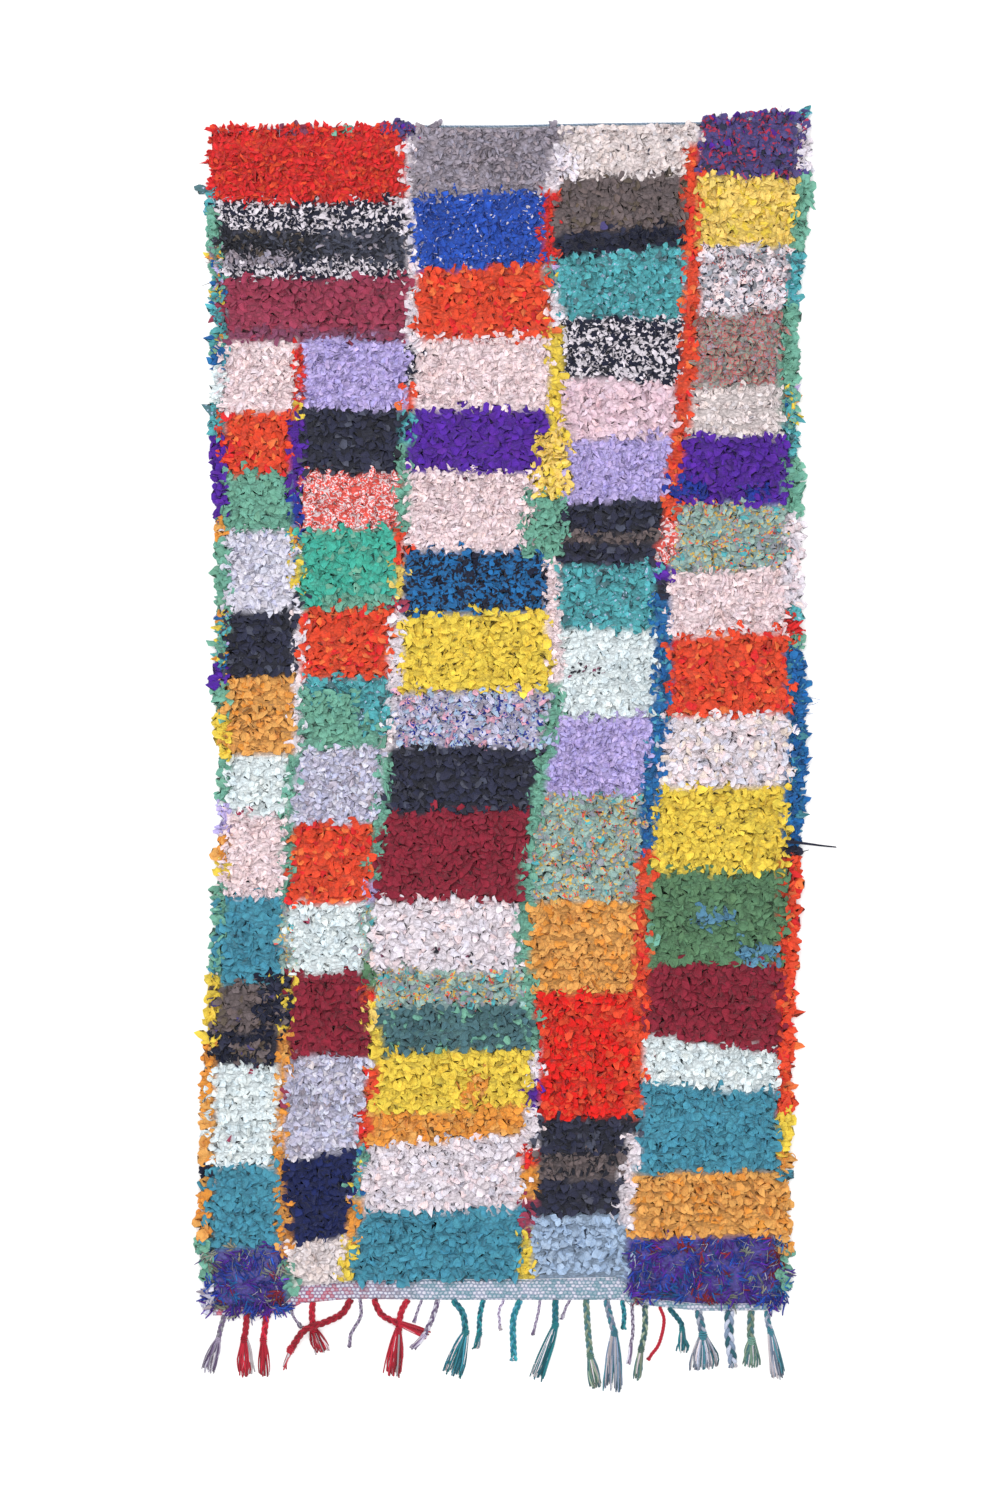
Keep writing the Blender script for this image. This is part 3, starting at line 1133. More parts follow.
def leaf_sizes(knots, spec, at_edge, rng):
    """Each end's length and width. Over the sides the ends are longer and shorter in turn, by a
    sine of the place along whose phase wanders by another."""
    count = len(knots)
    kind = knots[:, 2].astype(int)
    length = spec["reach"] * MM * rng.choice(LENGTHS, count)
    length *= rng.uniform(*LENGTH_SPREAD, count) * np.where(kind == IN_STRIPE, STRIPE_LENGTH, 1)
    turn, wander_length = SIDE_TUFT_WANDER
    wander = turn * np.sin(knots[:, 1] / wander_length)
    tuft = np.sin(2 * math.pi * knots[:, 1] / SIDE_TUFT + wander)
    length *= np.where(kind >= LEFT_RIM, TUFT_LENGTHS[0] + TUFT_LENGTHS[1] * tuft, 1)
    length *= np.where(at_edge, RIM_SHORTER, 1)
    return length, spec["width"] * MM * rng.uniform(*WIDTH_SPREAD, count)


def rag_ends(knots, spec, along, rng):
    """Points of many rag ends, each a leaf of cloth that climbs from its knot and bends over.

    For a share v along and u across, the leaf's centre line climbs at an angle that falls evenly
    from steep to level, and the point is root + line(v) + across u width(v) / 2 - normal
    (fold |u - crease| + two crumple waves). The back is the front moved in by the thickness.
    """
    count = len(knots)
    kind = knots[:, 2].astype(int)
    on_rim = kind >= LEFT_RIM
    fineness = float(np.interp(spec["width"], FINENESS_WIDTHS, FINENESS))
    aim, at_edge = ways_to_fall(knots, spec.get("rows", False), rng)
    length, width = leaf_sizes(knots, spec, at_edge, rng)
    steep = np.radians(rng.uniform(*ROOT_CLIMB, count))
    level = np.radians(rng.normal(*TIP_CLIMB, count))
    steep = np.where(on_rim, np.radians(rng.uniform(*SIDE_ROOT_CLIMB, count)), steep)
    level = np.where(on_rim, np.radians(rng.uniform(*SIDE_TIP_CLIMB, count)), level)
    crease = rng.uniform(-CREASE_PLACE, CREASE_PLACE, (count, 1, 1))
    u = ACROSS + crease * (ACROSS == 0)
    climb = steep[:, None] + (level - steep)[:, None] * along
    between = (climb[:, 1:] + climb[:, :-1]) / 2
    stride = length[:, None] * np.diff(along)
    start = np.zeros((count, 1))
    out = np.concatenate((start, np.cumsum(stride * np.cos(between), axis=1)), axis=1)
    up = np.concatenate((start, np.cumsum(stride * np.sin(between), axis=1)), axis=1)
    forward = np.stack((np.cos(aim), np.sin(aim), 0 * aim), axis=1)[:, None, :]
    sideways = np.stack((np.sin(aim), -np.cos(aim), 0 * aim), axis=1)[:, None, :]
    upward = np.array((0.0, 0.0, 1.0))
    along_dir = forward * np.cos(climb)[..., None] + upward * np.sin(climb)[..., None]
    normal = upward * np.cos(climb)[..., None] - forward * np.sin(climb)[..., None]
    roll = rng.normal(0, RAG_ROLL * fineness, (count, 1))
    roll = roll + rng.normal(0, RAG_TWIST, (count, 1)) * along
    across_dir = sideways * np.cos(roll)[..., None] + normal * np.sin(roll)[..., None]
    face_dir = normal * np.cos(roll)[..., None] - sideways * np.sin(roll)[..., None]
    tip = rng.uniform(*TIP_WIDTHS, count)
    tip = np.where(on_rim, rng.uniform(*SIDE_TIP_WIDTHS, count), tip)
    wide = np.interp(along, ALONG, WIDTH_SHARES)
    profile = wide + (along == 1) * (tip[:, None] - 1)
    half = (width / 2)[:, None, None] * profile[..., None]
    fold = rng.normal(*FOLD_DEPTH, (count, 1, 1))
    phase = rng.uniform(0, 2 * math.pi, (2, count, 1, 1))
    turns = rng.uniform(*CRUMPLE_TURNS, (2, count, 1, 1)) * np.array((1, -1)).reshape(2, 1, 1, 1)
    v = along[None, :, None]
    crumple = np.sin(turns[0] * (u + v) + phase[0])
    crumple = crumple + np.sin(turns[1] * (u - CRUMPLE_SKEW * v) + phase[1])
    crumple *= RAG_CRUMPLE * fineness / 2 * (CRUMPLE_AT_ROOT + v)
    crumple *= rng.uniform(*CRUMPLE_SPREAD, (count, 1, 1))
    sink = fold * half * np.abs(u - crease) + crumple
    slant = rng.normal(0, CUT_SLANT, (count, 1, 1))
    cut = (v == 1) * length[:, None, None] * (slant * u - CUT_ROUND * u**2)
    root = np.insert(knots[:, :2], 2, KNOT_LEVEL, axis=1)[:, None, :]
    root = root + np.where(kind == IN_BLOCK, HANG, 0)[:, None, None] * np.array((0, 1, 0))
    _, bare = near_heading(knots)
    margin = np.where(bare, TOP_MARGIN[0], TOP_MARGIN[1])[:, None]
    root[..., 1] = np.minimum(root[..., 1], top_edge(root[..., 0]) - margin)
    line = root + forward * out[..., None] + upward * up[..., None]
    front = line[:, :, None] + across_dir[:, :, None] * (u * half)[..., None]
    front = front - face_dir[:, :, None] * sink[..., None] + along_dir[:, :, None] * cut[..., None]
    back = front - face_dir[:, :, None] * RAG_THICKNESS
    return front, back, width, length


def rag_piece(rag, knots, number, material):
    """One cloth's pile: four or eight ends at each of its knots, dyed from its parts."""
    spec = RAGS[rag]
    rng = np.random.default_rng(PILE_SEED + number)
    fine = spec["width"] <= FINE_WIDTH
    along = ALONG_FINE if fine else ALONG
    knots = np.repeat(knots, FINE_ENDS if fine else BROAD_ENDS, axis=0)
    scatter = ROWED_SCATTER if spec.get("rows") else KNOT_SCATTER
    knots = knots + rng.normal(0, 1, knots.shape) * (*scatter, 0)
    front, back, width, length = rag_ends(knots, spec, along, rng)
    faces, steps_u, steps_v, middle = rag_end_faces(along)
    count = len(knots)
    points = np.concatenate((front.reshape(count, -1, 3), back[:, middle]), axis=1)
    points[..., 2] = np.maximum(points[..., 2], FLOOR_CLEARANCE)
    corners = points.shape[1]
    all_faces = faces[None] + (np.arange(count) * corners)[:, None, None]
    shift = rng.uniform(0, WEAVE_SHIFT, (count, 1, 1, 2))
    weave_u = ACROSS[steps_u][None] * width[:, None, None] / 2
    weave_v = along[steps_v][None] * length[:, None, None]
    weave = np.stack((weave_u, weave_v), axis=-1) + shift
    # The front and the back of an end have a cell each in the bake square.
    half = len(faces) // 2
    grid_u = (ACROSS[steps_u[:half]] + 1) / 2
    cells = bake_cells(count * 2, grid_u, along[steps_v[:half]]).reshape(count, 2, half, 4, 2)
    cells = np.stack((cells[:, 0], cells[:, 1][:, :, ::-1]), axis=1)
    dyes = part_dyes(spec["parts"], count, spec.get("tint", PLAIN_TINT), rng)
    piece = mesh_piece(
        "pile_" + rag.replace(" ", "_"),
        points.reshape(-1, 3),
        [all_faces.reshape(-1, 4)],
        {"weave": weave, "OFBake": cells},
        np.repeat(dyes, corners, axis=0),
    )
    sharpen_rims(piece, np.tile(rim_of(middle), count))
    piece.data.materials.append(material)


def rim_of(middle):
    """True for the points on the rim of a leaf or a slab: those of its grid that middle leaves
    out. Its back's inner points come after them."""
    return np.concatenate((~middle.ravel(), np.zeros(middle.sum(), bool)))


def sharpen_rims(piece, on_rim):
    """Marks the cut edges of the cloth, where both ends of an edge lie on a rim, as sharp."""
    mesh = piece.data
    ends = np.empty(len(mesh.edges) * 2, np.int32)
    mesh.edges.foreach_get("vertices", ends)
    sharp = on_rim[ends].reshape(-1, 2).all(axis=1)
    layer = mesh.attributes.new("sharp_edge", "BOOLEAN", "EDGE")
    layer.data.foreach_set("value", sharp)


def part_dyes(parts, count, tint, rng):
    """A colour for each end: one of the rag's parts by weight, a little lighter or darker."""
    names = list(parts)
    weights = np.array([parts[name] for name in names], float)
    picked = rng.choice(len(names), count, p=weights / weights.sum())
    base = linear([DYES[name] for name in names])[picked]
    value = np.exp(rng.normal(0, tint, (count, 1)))
    warmth = rng.normal(0, tint / 3, (count, 1)) * np.array((1, 0, -1))
    return np.clip(base * value * (1 + warmth), 0, 1)


def yarn_piece(rag, knots, number, material):
    """Loose wool yarn in tufts: neighbouring knots share a colour and a way to fall, with stray
    colours and a thin pale fuzz between them. A strand climbs at an angle that falls evenly from
    steep to drooping: point = knot + ahead (sum of cos) + up (sum of sin) + sideways sway v^2."""
    spec = RAGS[rag]
    rng = np.random.default_rng(PILE_SEED + number)
    strands = max(1, round(YARNS_PER_CM2 * (ROW_PITCH / CM) * (KNOT_PITCH / CM)))
    wave, wave_length = YARN_CLUMP_WAVE
    cell = np.floor(knots[:, :2] / YARN_CLUMP + wave * np.sin(knots[:, 1::-1] / wave_length))
    _, cell = np.unique(cell, axis=0, return_inverse=True)
    cell = cell.reshape(-1)
    clump_aim = rng.normal(-math.pi / 2, CLUMP_LEAN, cell.max() + 1)[cell]
    clump_dye = part_dyes(spec["parts"], cell.max() + 1, CLUMP_TINT, rng)[cell]
    knots = np.repeat(knots, strands, axis=0)
    count = len(knots)
    aim = np.repeat(clump_aim, strands) + rng.normal(0, STRAND_LEAN, count)
    kind = knots[:, 2].astype(int)
    outward = np.where(kind == LEFT_RIM, math.pi, 0) + rng.normal(0, SIDE_STRAND_LEAN, count)
    aim = np.where(kind >= LEFT_RIM, outward, aim)[:, None]
    thin = rng.random((count, 1)) < FUZZ_SHARE
    v = np.linspace(0, 1, YARN_STEPS)
    length = rng.uniform(*YARN_LENGTHS, (count, 1))
    steep = np.radians(rng.uniform(*YARN_ROOT_CLIMB, (count, 1)))
    level = np.radians(rng.normal(*YARN_TIP_CLIMB, (count, 1)) + np.where(thin, FUZZ_LIFT, 0))
    climb = steep + (level - steep) * v
    stride = length / (YARN_STEPS - 1)
    out = np.cumsum(np.cos(climb) * stride, axis=1) - np.cos(climb[:, :1]) * stride
    up = np.cumsum(np.sin(climb) * stride, axis=1) - np.sin(climb[:, :1]) * stride
    sway = rng.normal(0, YARN_SWAY, (count, 1)) * np.where(thin, FUZZ_SWAY, 1) * v**2
    root_x = knots[:, :1] + rng.normal(0, YARN_SCATTER, (count, 1))
    root_y = knots[:, 1:2] + rng.normal(0, YARN_SCATTER, (count, 1))
    x = root_x + np.cos(aim) * out + np.sin(aim) * sway
    y = root_y + np.sin(aim) * out - np.cos(aim) * sway
    radii = np.where(thin, FUZZ_RADIUS, YARN_RADIUS) * rng.uniform(*YARN_RADIUS_SPREAD, (count, 1))
    radii = radii * (1 - YARN_TAPER * v)
    z = np.maximum(KNOT_LEVEL + up, 2 * YARN_RADIUS)
    paths = np.stack((x, y + HANG / 2, z), axis=-1)
    alone = part_dyes(spec["parts"], count, STRAY_TINT, rng)
    dyes = np.repeat(clump_dye, strands, axis=0)
    dyes = np.where(rng.random((count, 1)) < YARN_STRAY_SHARE, alone, dyes)
    pale = linear([DYES[name] for name in FUZZ_DYES])[rng.integers(0, len(FUZZ_DYES), count)]
    dyes = np.where(thin, pale, dyes) * np.exp(rng.normal(0, STRAND_TINT, (count, 1)))
    parts = tubes(paths, radii, YARN_SIDES, np.clip(dyes, 0, 1))
    piece = mesh_piece("pile_" + rag.replace(" ", "_"), *parts)
    piece.data.materials.append(material)


def slab(name, plan, height, grid, relief, dyes=None):
    """A closed flat sheet over the plan that plan(s, t) gives for shares s and t of the two ways
    across it: top z = height + relief(x, y), falling to the floor at the rim that it shares with
    the underside, z = 0."""
    columns, rows = grid
    t, s = np.meshgrid(np.linspace(0, 1, rows + 1), np.linspace(0, 1, columns + 1), indexing="ij")
    x, y = plan(s, t)
    inner = np.zeros(x.shape, bool)
    inner[1:-1, 1:-1] = True
    top = np.stack((x, y, np.where(inner, height + relief(x, y), 0.0)), axis=-1)
    under = np.stack((x[inner], y[inner], np.zeros(inner.sum())), axis=-1)
    front = np.arange(x.size).reshape(x.shape)
    back = front.copy()
    back[inner] = x.size + np.arange(inner.sum())
    over = np.stack((front[:-1, :-1], front[:-1, 1:], front[1:, 1:], front[1:, :-1]), axis=-1)
    below = np.stack((back[:-1, :-1], back[1:, :-1], back[1:, 1:], back[:-1, 1:]), axis=-1)
    quads = np.concatenate((over.reshape(-1, 4), below.reshape(-1, 4)))
    points = np.concatenate((top.reshape(-1, 3), under))
    flat = np.stack((s.ravel(), t.ravel()), axis=1)
    flat = np.concatenate((flat, flat[inner.ravel()]))[quads]
    # The top takes the left three quarters of the bake square and the underside the rest.
    squeeze = np.repeat((0.74, 0.22), len(quads) // 2)[:, None, None]
    shift = np.repeat((0.01, 0.77), len(quads) // 2)[:, None, None]
    places = np.concatenate((flat[..., :1] * squeeze + shift, flat[..., 1:] * 0.98 + 0.01), axis=-1)
    colours = None if dyes is None else dyes(points[:, 0], points[:, 1])
    piece = mesh_piece(name, points, [quads], {"OFBake": places}, colours)
    sharpen_rims(piece, rim_of(inner))
    return piece


def run_rags(runs, top, y):
    """The number of the run beside each place: how many of their lower ends lie above it."""
    lower_ends = top - np.cumsum([run[1] for run in runs])
    return np.clip(np.searchsorted(-lower_ends, -y / CM), 0, len(runs) - 1)


def packed_dye(rag):
    """The average colour of a rag, darker where its rows stand apart."""
    spec = RAGS[rag]
    weights = np.array(list(spec["parts"].values()), float)
    base = weights @ linear([DYES[name] for name in spec["parts"]]) / weights.sum()
    return base * PACKED_SHADE * spec.get("gaps", 1)


def packed_mark(rag):
    """The colour of a rag's printed marks and their share of it, which is 0 for a plain rag."""
    mark, share = RAGS[rag].get("blotch", ("white", 0))[:2]
    return (*linear(DYES[mark]) * PACKED_SHADE, share)


def packed(x, y, value_of, plain):
    """value_of(rag) at each place, for the rag of its block or stripe, and plain where there is
    none: at the sides and below the columns."""
    found = np.zeros((len(x), len(plain))) + plain
    for blocks, top, left, right in COLUMNS:
        low, high = boundary(left, y, 1), boundary(right, y, -1)
        lower_ends = top - np.cumsum([block[1] for block in blocks])
        tilt = np.interp(y / CM, lower_ends[::-1], [block[2] for block in blocks][::-1])
        level = y - tilt * CM * ((x - low) / (high - low) - 0.5)
        here = (x >= low) & (x <= high) & (level / CM <= top + PACKED_ABOVE_CM)
        here &= level / CM >= lower_ends[-1] - PACKED_BELOW_CM
        values = np.array([value_of(block[0]) for block in blocks])
        found[here] = values[run_rags(blocks, top, level)][here]
    for name, (top, runs) in STRIPES.items():
        if name in STRIPE_LINES_CM:
            centre = table_at(STRIPE_LINES_CM[name], y / CM, 1) * CM
            half = STRIPE_HALF_CM[name] * CM
        else:
            column = 1 if name == "left" else 2
            half = table_at(SIDE_INSET_CM, y / CM, column) * CM / 2 + PACKED_SIDE_SPARE
            centre = side_edge(y, column) + (half if name == "left" else -half)
        here = (np.abs(x - centre) <= half) & (y / CM <= top)
        values = np.array([value_of(run[0]) for run in runs])
        found[here] = values[run_rags(runs, top, y)][here]
    return found


def packed_dyes(x, y):
    """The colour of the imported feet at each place, and the ground's own where there are none."""
    return packed(x, y, packed_dye, linear(GROUND_DYES[0]))


def packed_marks(x, y):
    """The colour and share of the printed marks at each place, 0 where nothing is printed."""
    return packed(x, y, packed_mark, np.zeros(4))


def packed_relief(x, y):
    """Low lumps: LUMP sin(x / 5 mm + 2 sin(y / 30 mm)) times sin(y / 6 mm + sin(x / 40 mm))."""
    across = np.sin(x / (5 * MM) + 2 * np.sin(y / (30 * MM)))
    return LUMP * across * np.sin(y / (6 * MM) + np.sin(x / (40 * MM)))


def pile_plan(s, t):
    """Place on the floor of the pile's ground weave for shares of its width and length."""
    last, first = SIDE_EDGES_CM[-1, 0] * CM, SIDE_EDGES_CM[0, 0] * CM
    middle = last + t * (first - last)
    left = side_edge(middle, 1) + GROUND_INSET
    right = side_edge(middle, 2) - GROUND_INSET
    x = left + s * (right - left)
    bottom = end_edge(x, 1)
    return x, bottom + t * (top_edge(x) - GROUND_BELOW_HEADING - bottom)


def band_plan(s, t):
    """Place on the floor of the end band: under the pile's lower end, from its lower edge up."""
    x, back = pile_plan(s, 0 * s)
    front = end_edge(x, 2)
    return x, front + t * (back - BAND_GAP - front)


def band_relief(x, y):
    """Twined rows, each half a stitch over from the row before: a stitch stands up by |sin|^0.7
    along its row and |sin|^0.5 across it."""
    row = np.floor(y / BAND_ROW)
    stitch = np.abs(np.sin(math.pi * (x / BAND_RIB / 2 + row / 2)))
    between = np.abs(np.sin(math.pi * y / BAND_ROW))
    return BAND_STITCH * stitch**0.7 * between**0.5 - BAND_STITCH


def plait(route, width):
    """Three plies plaited along a route. Ply k runs at angle a = 2 pi (way / pitch + k / 3):
    sideways by the swing times sin a and up by the rise times 1 + sin 2a, as in a flat plait."""
    centre = smooth_path(route, PLAIT_STEP)
    _, sideways = directions(centre)
    way = np.linspace(0, 1, len(centre)) * PLAIT_STEP * len(centre)
    turn = way[None, :] / (PLAIT_PITCH * width) + np.arange(PLIES)[:, None] / PLIES
    turn = 2 * math.pi * turn
    paths = centre[None] + sideways[None] * (PLAIT_SWING * width * np.sin(turn))[..., None]
    radius = PLY_RADIUS * width
    paths[..., 2] += radius + PLAIT_RISE * width * (1 + np.sin(2 * turn))
    paths[..., 2] = np.maximum(paths[..., 2], radius)
    return paths, np.full(paths.shape[:2], radius)


def knot_wrap(place, ahead, width):
    """A tassel's knot: one thread wound three and a half turns, place + ahead way + radius
    (sideways cos a + up sin a), rounded so that the middle turns stand out."""
    angle = np.linspace(0, WRAP_HALF_TURNS * math.pi, WRAP_STEPS)
    share = np.linspace(-1, 1, WRAP_STEPS)
    sideways = np.array((ahead[1], -ahead[0], 0.0))
    radius = width * (WRAP_TURN + WRAP_BULGE * (1 - share**2))
    path = np.asarray(place) + ahead * (share * width * WRAP_HALF_LENGTH)[:, None]
    path = path + sideways * (radius * np.cos(angle))[:, None]
    lift = width * WRAP_LEVEL + WRAP_FLATNESS * radius * np.sin(angle)
    path[:, 2] = np.maximum(lift, width * WRAP_LOWEST)
    return path[None], np.full((1, WRAP_STEPS), width * WRAP_THREAD)


def brush(start, end, width, rng):
    """The loose yarns below a knot: each runs from the knot to its own place across the end,
    place = start + (end - start) v + sideways (root + (tip - root) (1 - (1 - v)^2)) + a wave."""
    count = max(LEAST_BRUSH_YARNS, round(width / MM * BRUSH_YARNS_PER_MM))
    ahead = (end - start) / np.linalg.norm(end - start)
    sideways = np.array((ahead[1], -ahead[0], 0.0))
    v = np.linspace(0, 1, BRUSH_STEPS)
    share = (np.arange(count) + 0.5) / count - 0.5 + rng.normal(0, BRUSH_SCATTER, count)
    root = share * min(width * BRUSH_ROOT_SHARE, BRUSH_ROOT_WIDEST)
    tip = share * width
    stretch = rng.uniform(*BRUSH_STRETCH, count)
    wave = rng.normal(0, BRUSH_WAVE, (count, 1))
    wave = wave * np.sin(v * rng.uniform(*BRUSH_WAVE_TURNS, (count, 1)))
    across = root[:, None] + (tip - root)[:, None] * (1 - (1 - v) ** 2) + wave * np.sqrt(v)
    way = stretch[:, None] * v
    paths = start + (end - start) * way[..., None] + sideways * across[..., None]
    lift = rng.uniform(*BRUSH_LIFT, (count, 1)) * (1 - v**2) + BRUSH_LEVEL
    thick, taper = BRUSH_TAPER
    radii = BRUSH_RADIUS * rng.uniform(*BRUSH_RADIUS_SPREAD, (count, 1)) * (thick - taper * v)
    paths[..., 2] = np.maximum(lift + rng.uniform(0, BRUSH_TIP_LIFT, (count, 1)) * v, radii)
    return paths, radii


def mixed_dyes(yarn, count, rng):
    """Colours for a number of strands of a tassel's yarn, each a little lighter or darker, and
    in a brush a few undyed ones."""
    base = linear(PLY_DYES[yarn])[np.arange(count) % PLIES]
    undyed = (rng.random((count, 1)) < PALE_SHARE) & (count > PLIES)
    base = np.where(undyed, linear(PALE_YARN), base)
    return np.clip(base * np.exp(rng.normal(0, TASSEL_TINT, (count, 1))), 0, 1)


def build_tassels(material):
    """The plaited warp ends: a knot and a brush below each plait, or a short stub of its yarns."""
    rng = np.random.default_rng(TASSEL_SEED)
    parts = []
    for yarn, width, brush_width, route in TASSELS:
        before, last = np.array(route[-2:])
        ahead = (last - before) / np.linalg.norm(last - before)
        stem = route[:-1] if brush_width > 0 else route
        paths, radii = plait(stem, width)
        parts.append(tubes(paths, radii, PLAIT_SIDES, mixed_dyes(yarn, PLIES, rng)))
        if brush_width > 0:
            paths, radii = knot_wrap(before, ahead, width)
            parts.append(tubes(paths, radii, WRAP_SIDES, mixed_dyes(yarn, 1, rng)))
            paths, radii = brush(before, last, brush_width, rng)
        else:
            paths, radii = brush(last, last + ahead * STUB_LENGTH, width * STUB_WIDTH_SHARE, rng)
        parts.append(tubes(paths, radii, BRUSH_SIDES, mixed_dyes(yarn, len(paths), rng)))
    piece = mesh_piece("tassels", *joined(parts))
    piece.data.materials.append(material)


def build_heading(material):
    """Two threads twined round each other along the plain end of the rug."""
    x = np.linspace(*HEADING_ENDS, HEADING_STEPS)
    way = x - x[0]
    y = top_edge(x) - HEADING_INSET
    parts = []
    for index, dye in enumerate(HEADING_DYES):
        turn = 2 * math.pi * (way / HEADING_TWIST + index / 2)
        centre = np.stack((x, y + HEADING_RADIUS * np.cos(turn), 0 * x), axis=1)
        centre[:, 2] = HEADING_LIFT * HEADING_RADIUS + HEADING_RADIUS * np.sin(turn)
        radii = np.full((1, len(x)), HEADING_RADIUS)
        parts.append(tubes(centre[None], radii, THREAD_SIDES, linear([dye])))
    piece = mesh_piece("heading_cord", *joined(parts))
    piece.data.materials.append(material)
    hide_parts("heading_edge")


def build_strays(material):
    """Loose threads that stand out beyond the sides and the heading."""
    parts = []
    for dye, radius, points in STRAYS:
        path = smooth_path(points, STRAY_STEP)
        share = np.linspace(0, 1, len(path))
        radii = (radius * (1 - STRAY_TAPER * share))[None]
        parts.append(tubes(path[None], radii, THREAD_SIDES, linear([DYES[dye]])))
    piece = mesh_piece("loose_threads", *joined(parts))
    piece.data.materials.append(material)


def new_material(name):
    """A new material: itself, its node tree and its shader."""
    material = bpy.data.materials.new(name)
    material.use_nodes = True
    tree = material.node_tree
    return material, tree, tree.nodes["Principled BSDF"]


def add_node(tree, kind, inputs=(), **settings):
    """A node with its settings, and its inputs by name or number: a value or another's output."""
    node = tree.nodes.new(kind)
    for key, value in settings.items():
        setattr(node, key, value)
    for key, value in dict(inputs).items():
        if isinstance(value, bpy.types.NodeSocket):
            tree.links.new(value, node.inputs[key])
        else:
            node.inputs[key].default_value = value
    return node


def math_node(tree, operation, first, second=0.0):
    """The result of an operation on one or two values."""
    return add_node(tree, "ShaderNodeMath", {0: first, 1: second}, operation=operation).outputs[0]


def vector_node(tree, operation, first, second):
    """The result of an operation on two sets of coordinates."""
    node = add_node(tree, "ShaderNodeVectorMath", {0: first, 1: second}, operation=operation)
    return node.outputs[0]


def scaled(tree, vector, sizes):
    """Coordinates divided by the sizes, so that a pattern repeats once for each size."""
    return vector_node(tree, "MULTIPLY", vector, tuple(1 / size for size in sizes))


def noise_node(tree, vector, detail=2.0, roughness=0.5, output="Fac"):
    """Smooth noise with a lump to about each unit of the coordinates."""
    sockets = {"Vector": vector, "Scale": 1.0, "Detail": detail, "Roughness": roughness}
    return add_node(tree, "ShaderNodeTexNoise", sockets).outputs[output]


def cells_node(tree, vector):
    """Irregular cells of about one unit: the distance from the middle of each, and two random
    values that it has for itself."""
    cells = add_node(tree, "ShaderNodeTexVoronoi", {"Vector": vector, "Scale": 1.0})
    chance = add_node(tree, "ShaderNodeSeparateColor", {"Color": cells.outputs["Color"]})
    return cells.outputs["Distance"], chance.outputs["Red"], chance.outputs["Green"]


def ramp_node(tree, factor, low, high, to_low, to_high):
    """A value carried from the span low to high over to the span to_low to to_high."""
    sockets = {"From Min": low, "From Max": high, "To Min": to_low, "To Max": to_high}
    return add_node(tree, "ShaderNodeMapRange", {"Value": factor, **sockets}).outputs["Result"]


def mix_colour(tree, factor, first, second, blend="MIX"):
    """The first colour at a factor of 0 and the second, or its blend with the first, at 1."""
    node = add_node(tree, "ShaderNodeMix", data_type="RGBA", blend_type=blend)
    for socket, value in ((0, factor), (6, first), (7, second)):
        if isinstance(value, bpy.types.NodeSocket):
            tree.links.new(value, node.inputs[socket])
        else:
            node.inputs[socket].default_value = value
    return node.outputs[2]


def shaded(tree, colour, value):
    """A colour times a value."""
    shade = add_node(tree, "ShaderNodeCombineColor", {"Red": value, "Green": value, "Blue": value})
    return mix_colour(tree, 1.0, colour, shade.outputs["Color"], "MULTIPLY")


def bumped(tree, shader, height, distance):
    """Tilts the light on a shader as a height from 0 to 1 would that stands for the distance."""
    sockets = {"Height": height, "Distance": distance, "Strength": 1.0}
    node = add_node(tree, "ShaderNodeBump", sockets)
    tree.links.new(node.outputs["Normal"], shader.inputs["Normal"])


def finish_cloth(tree, shader, colour, fuzz, rougher):
    """Gives a fibre's shader its colour, a bloom and a roughness that goes with its fuzz, from
    the first amount of rougher over the usual one to the second."""
    low, high = rougher
    tree.links.new(colour, shader.inputs["Base Color"])
    rough = ramp_node(tree, fuzz, *NOISE_SPAN, CLOTH_ROUGHNESS + low, CLOTH_ROUGHNESS + high)
    tree.links.new(rough, shader.inputs["Roughness"])
    shader.inputs["Sheen Weight"].default_value = CLOTH_SHEEN


def printed(tree, weave, dye, blotch):
    """A dye with printed marks: cells of the weave, a share of them in the marks' colour. Where
    blotch names a second colour, a noise over the rug gathers the marks in groups."""
    mark, share, size, *others = blotch
    ink = (*linear(DYES[mark]), 1)
    wander = noise_node(tree, scaled(tree, weave, MARK_WANDER), 1.0)
    cells = scaled(tree, weave, (size * MM, size * MM * MARK_STRETCH, 1))
    _, picked, chance = cells_node(tree, vector_node(tree, "ADD", cells, wander))
    if others:
        place = add_node(tree, "ShaderNodeTexCoord").outputs["Object"]
        grouped = noise_node(tree, scaled(tree, place, MARK_GROUP), 1.0)
        grouped = ramp_node(tree, grouped, *MARK_GROUP_EDGE, *GROUPED_SHARES)
        share = math_node(tree, "MULTIPLY", grouped, share)
        other = math_node(tree, "LESS_THAN", chance, SECOND_MARK_SHARE)
        ink = mix_colour(tree, other, ink, (*linear(DYES[others[0]]), 1))
    return mix_colour(tree, math_node(tree, "LESS_THAN", picked, share), dye, ink)


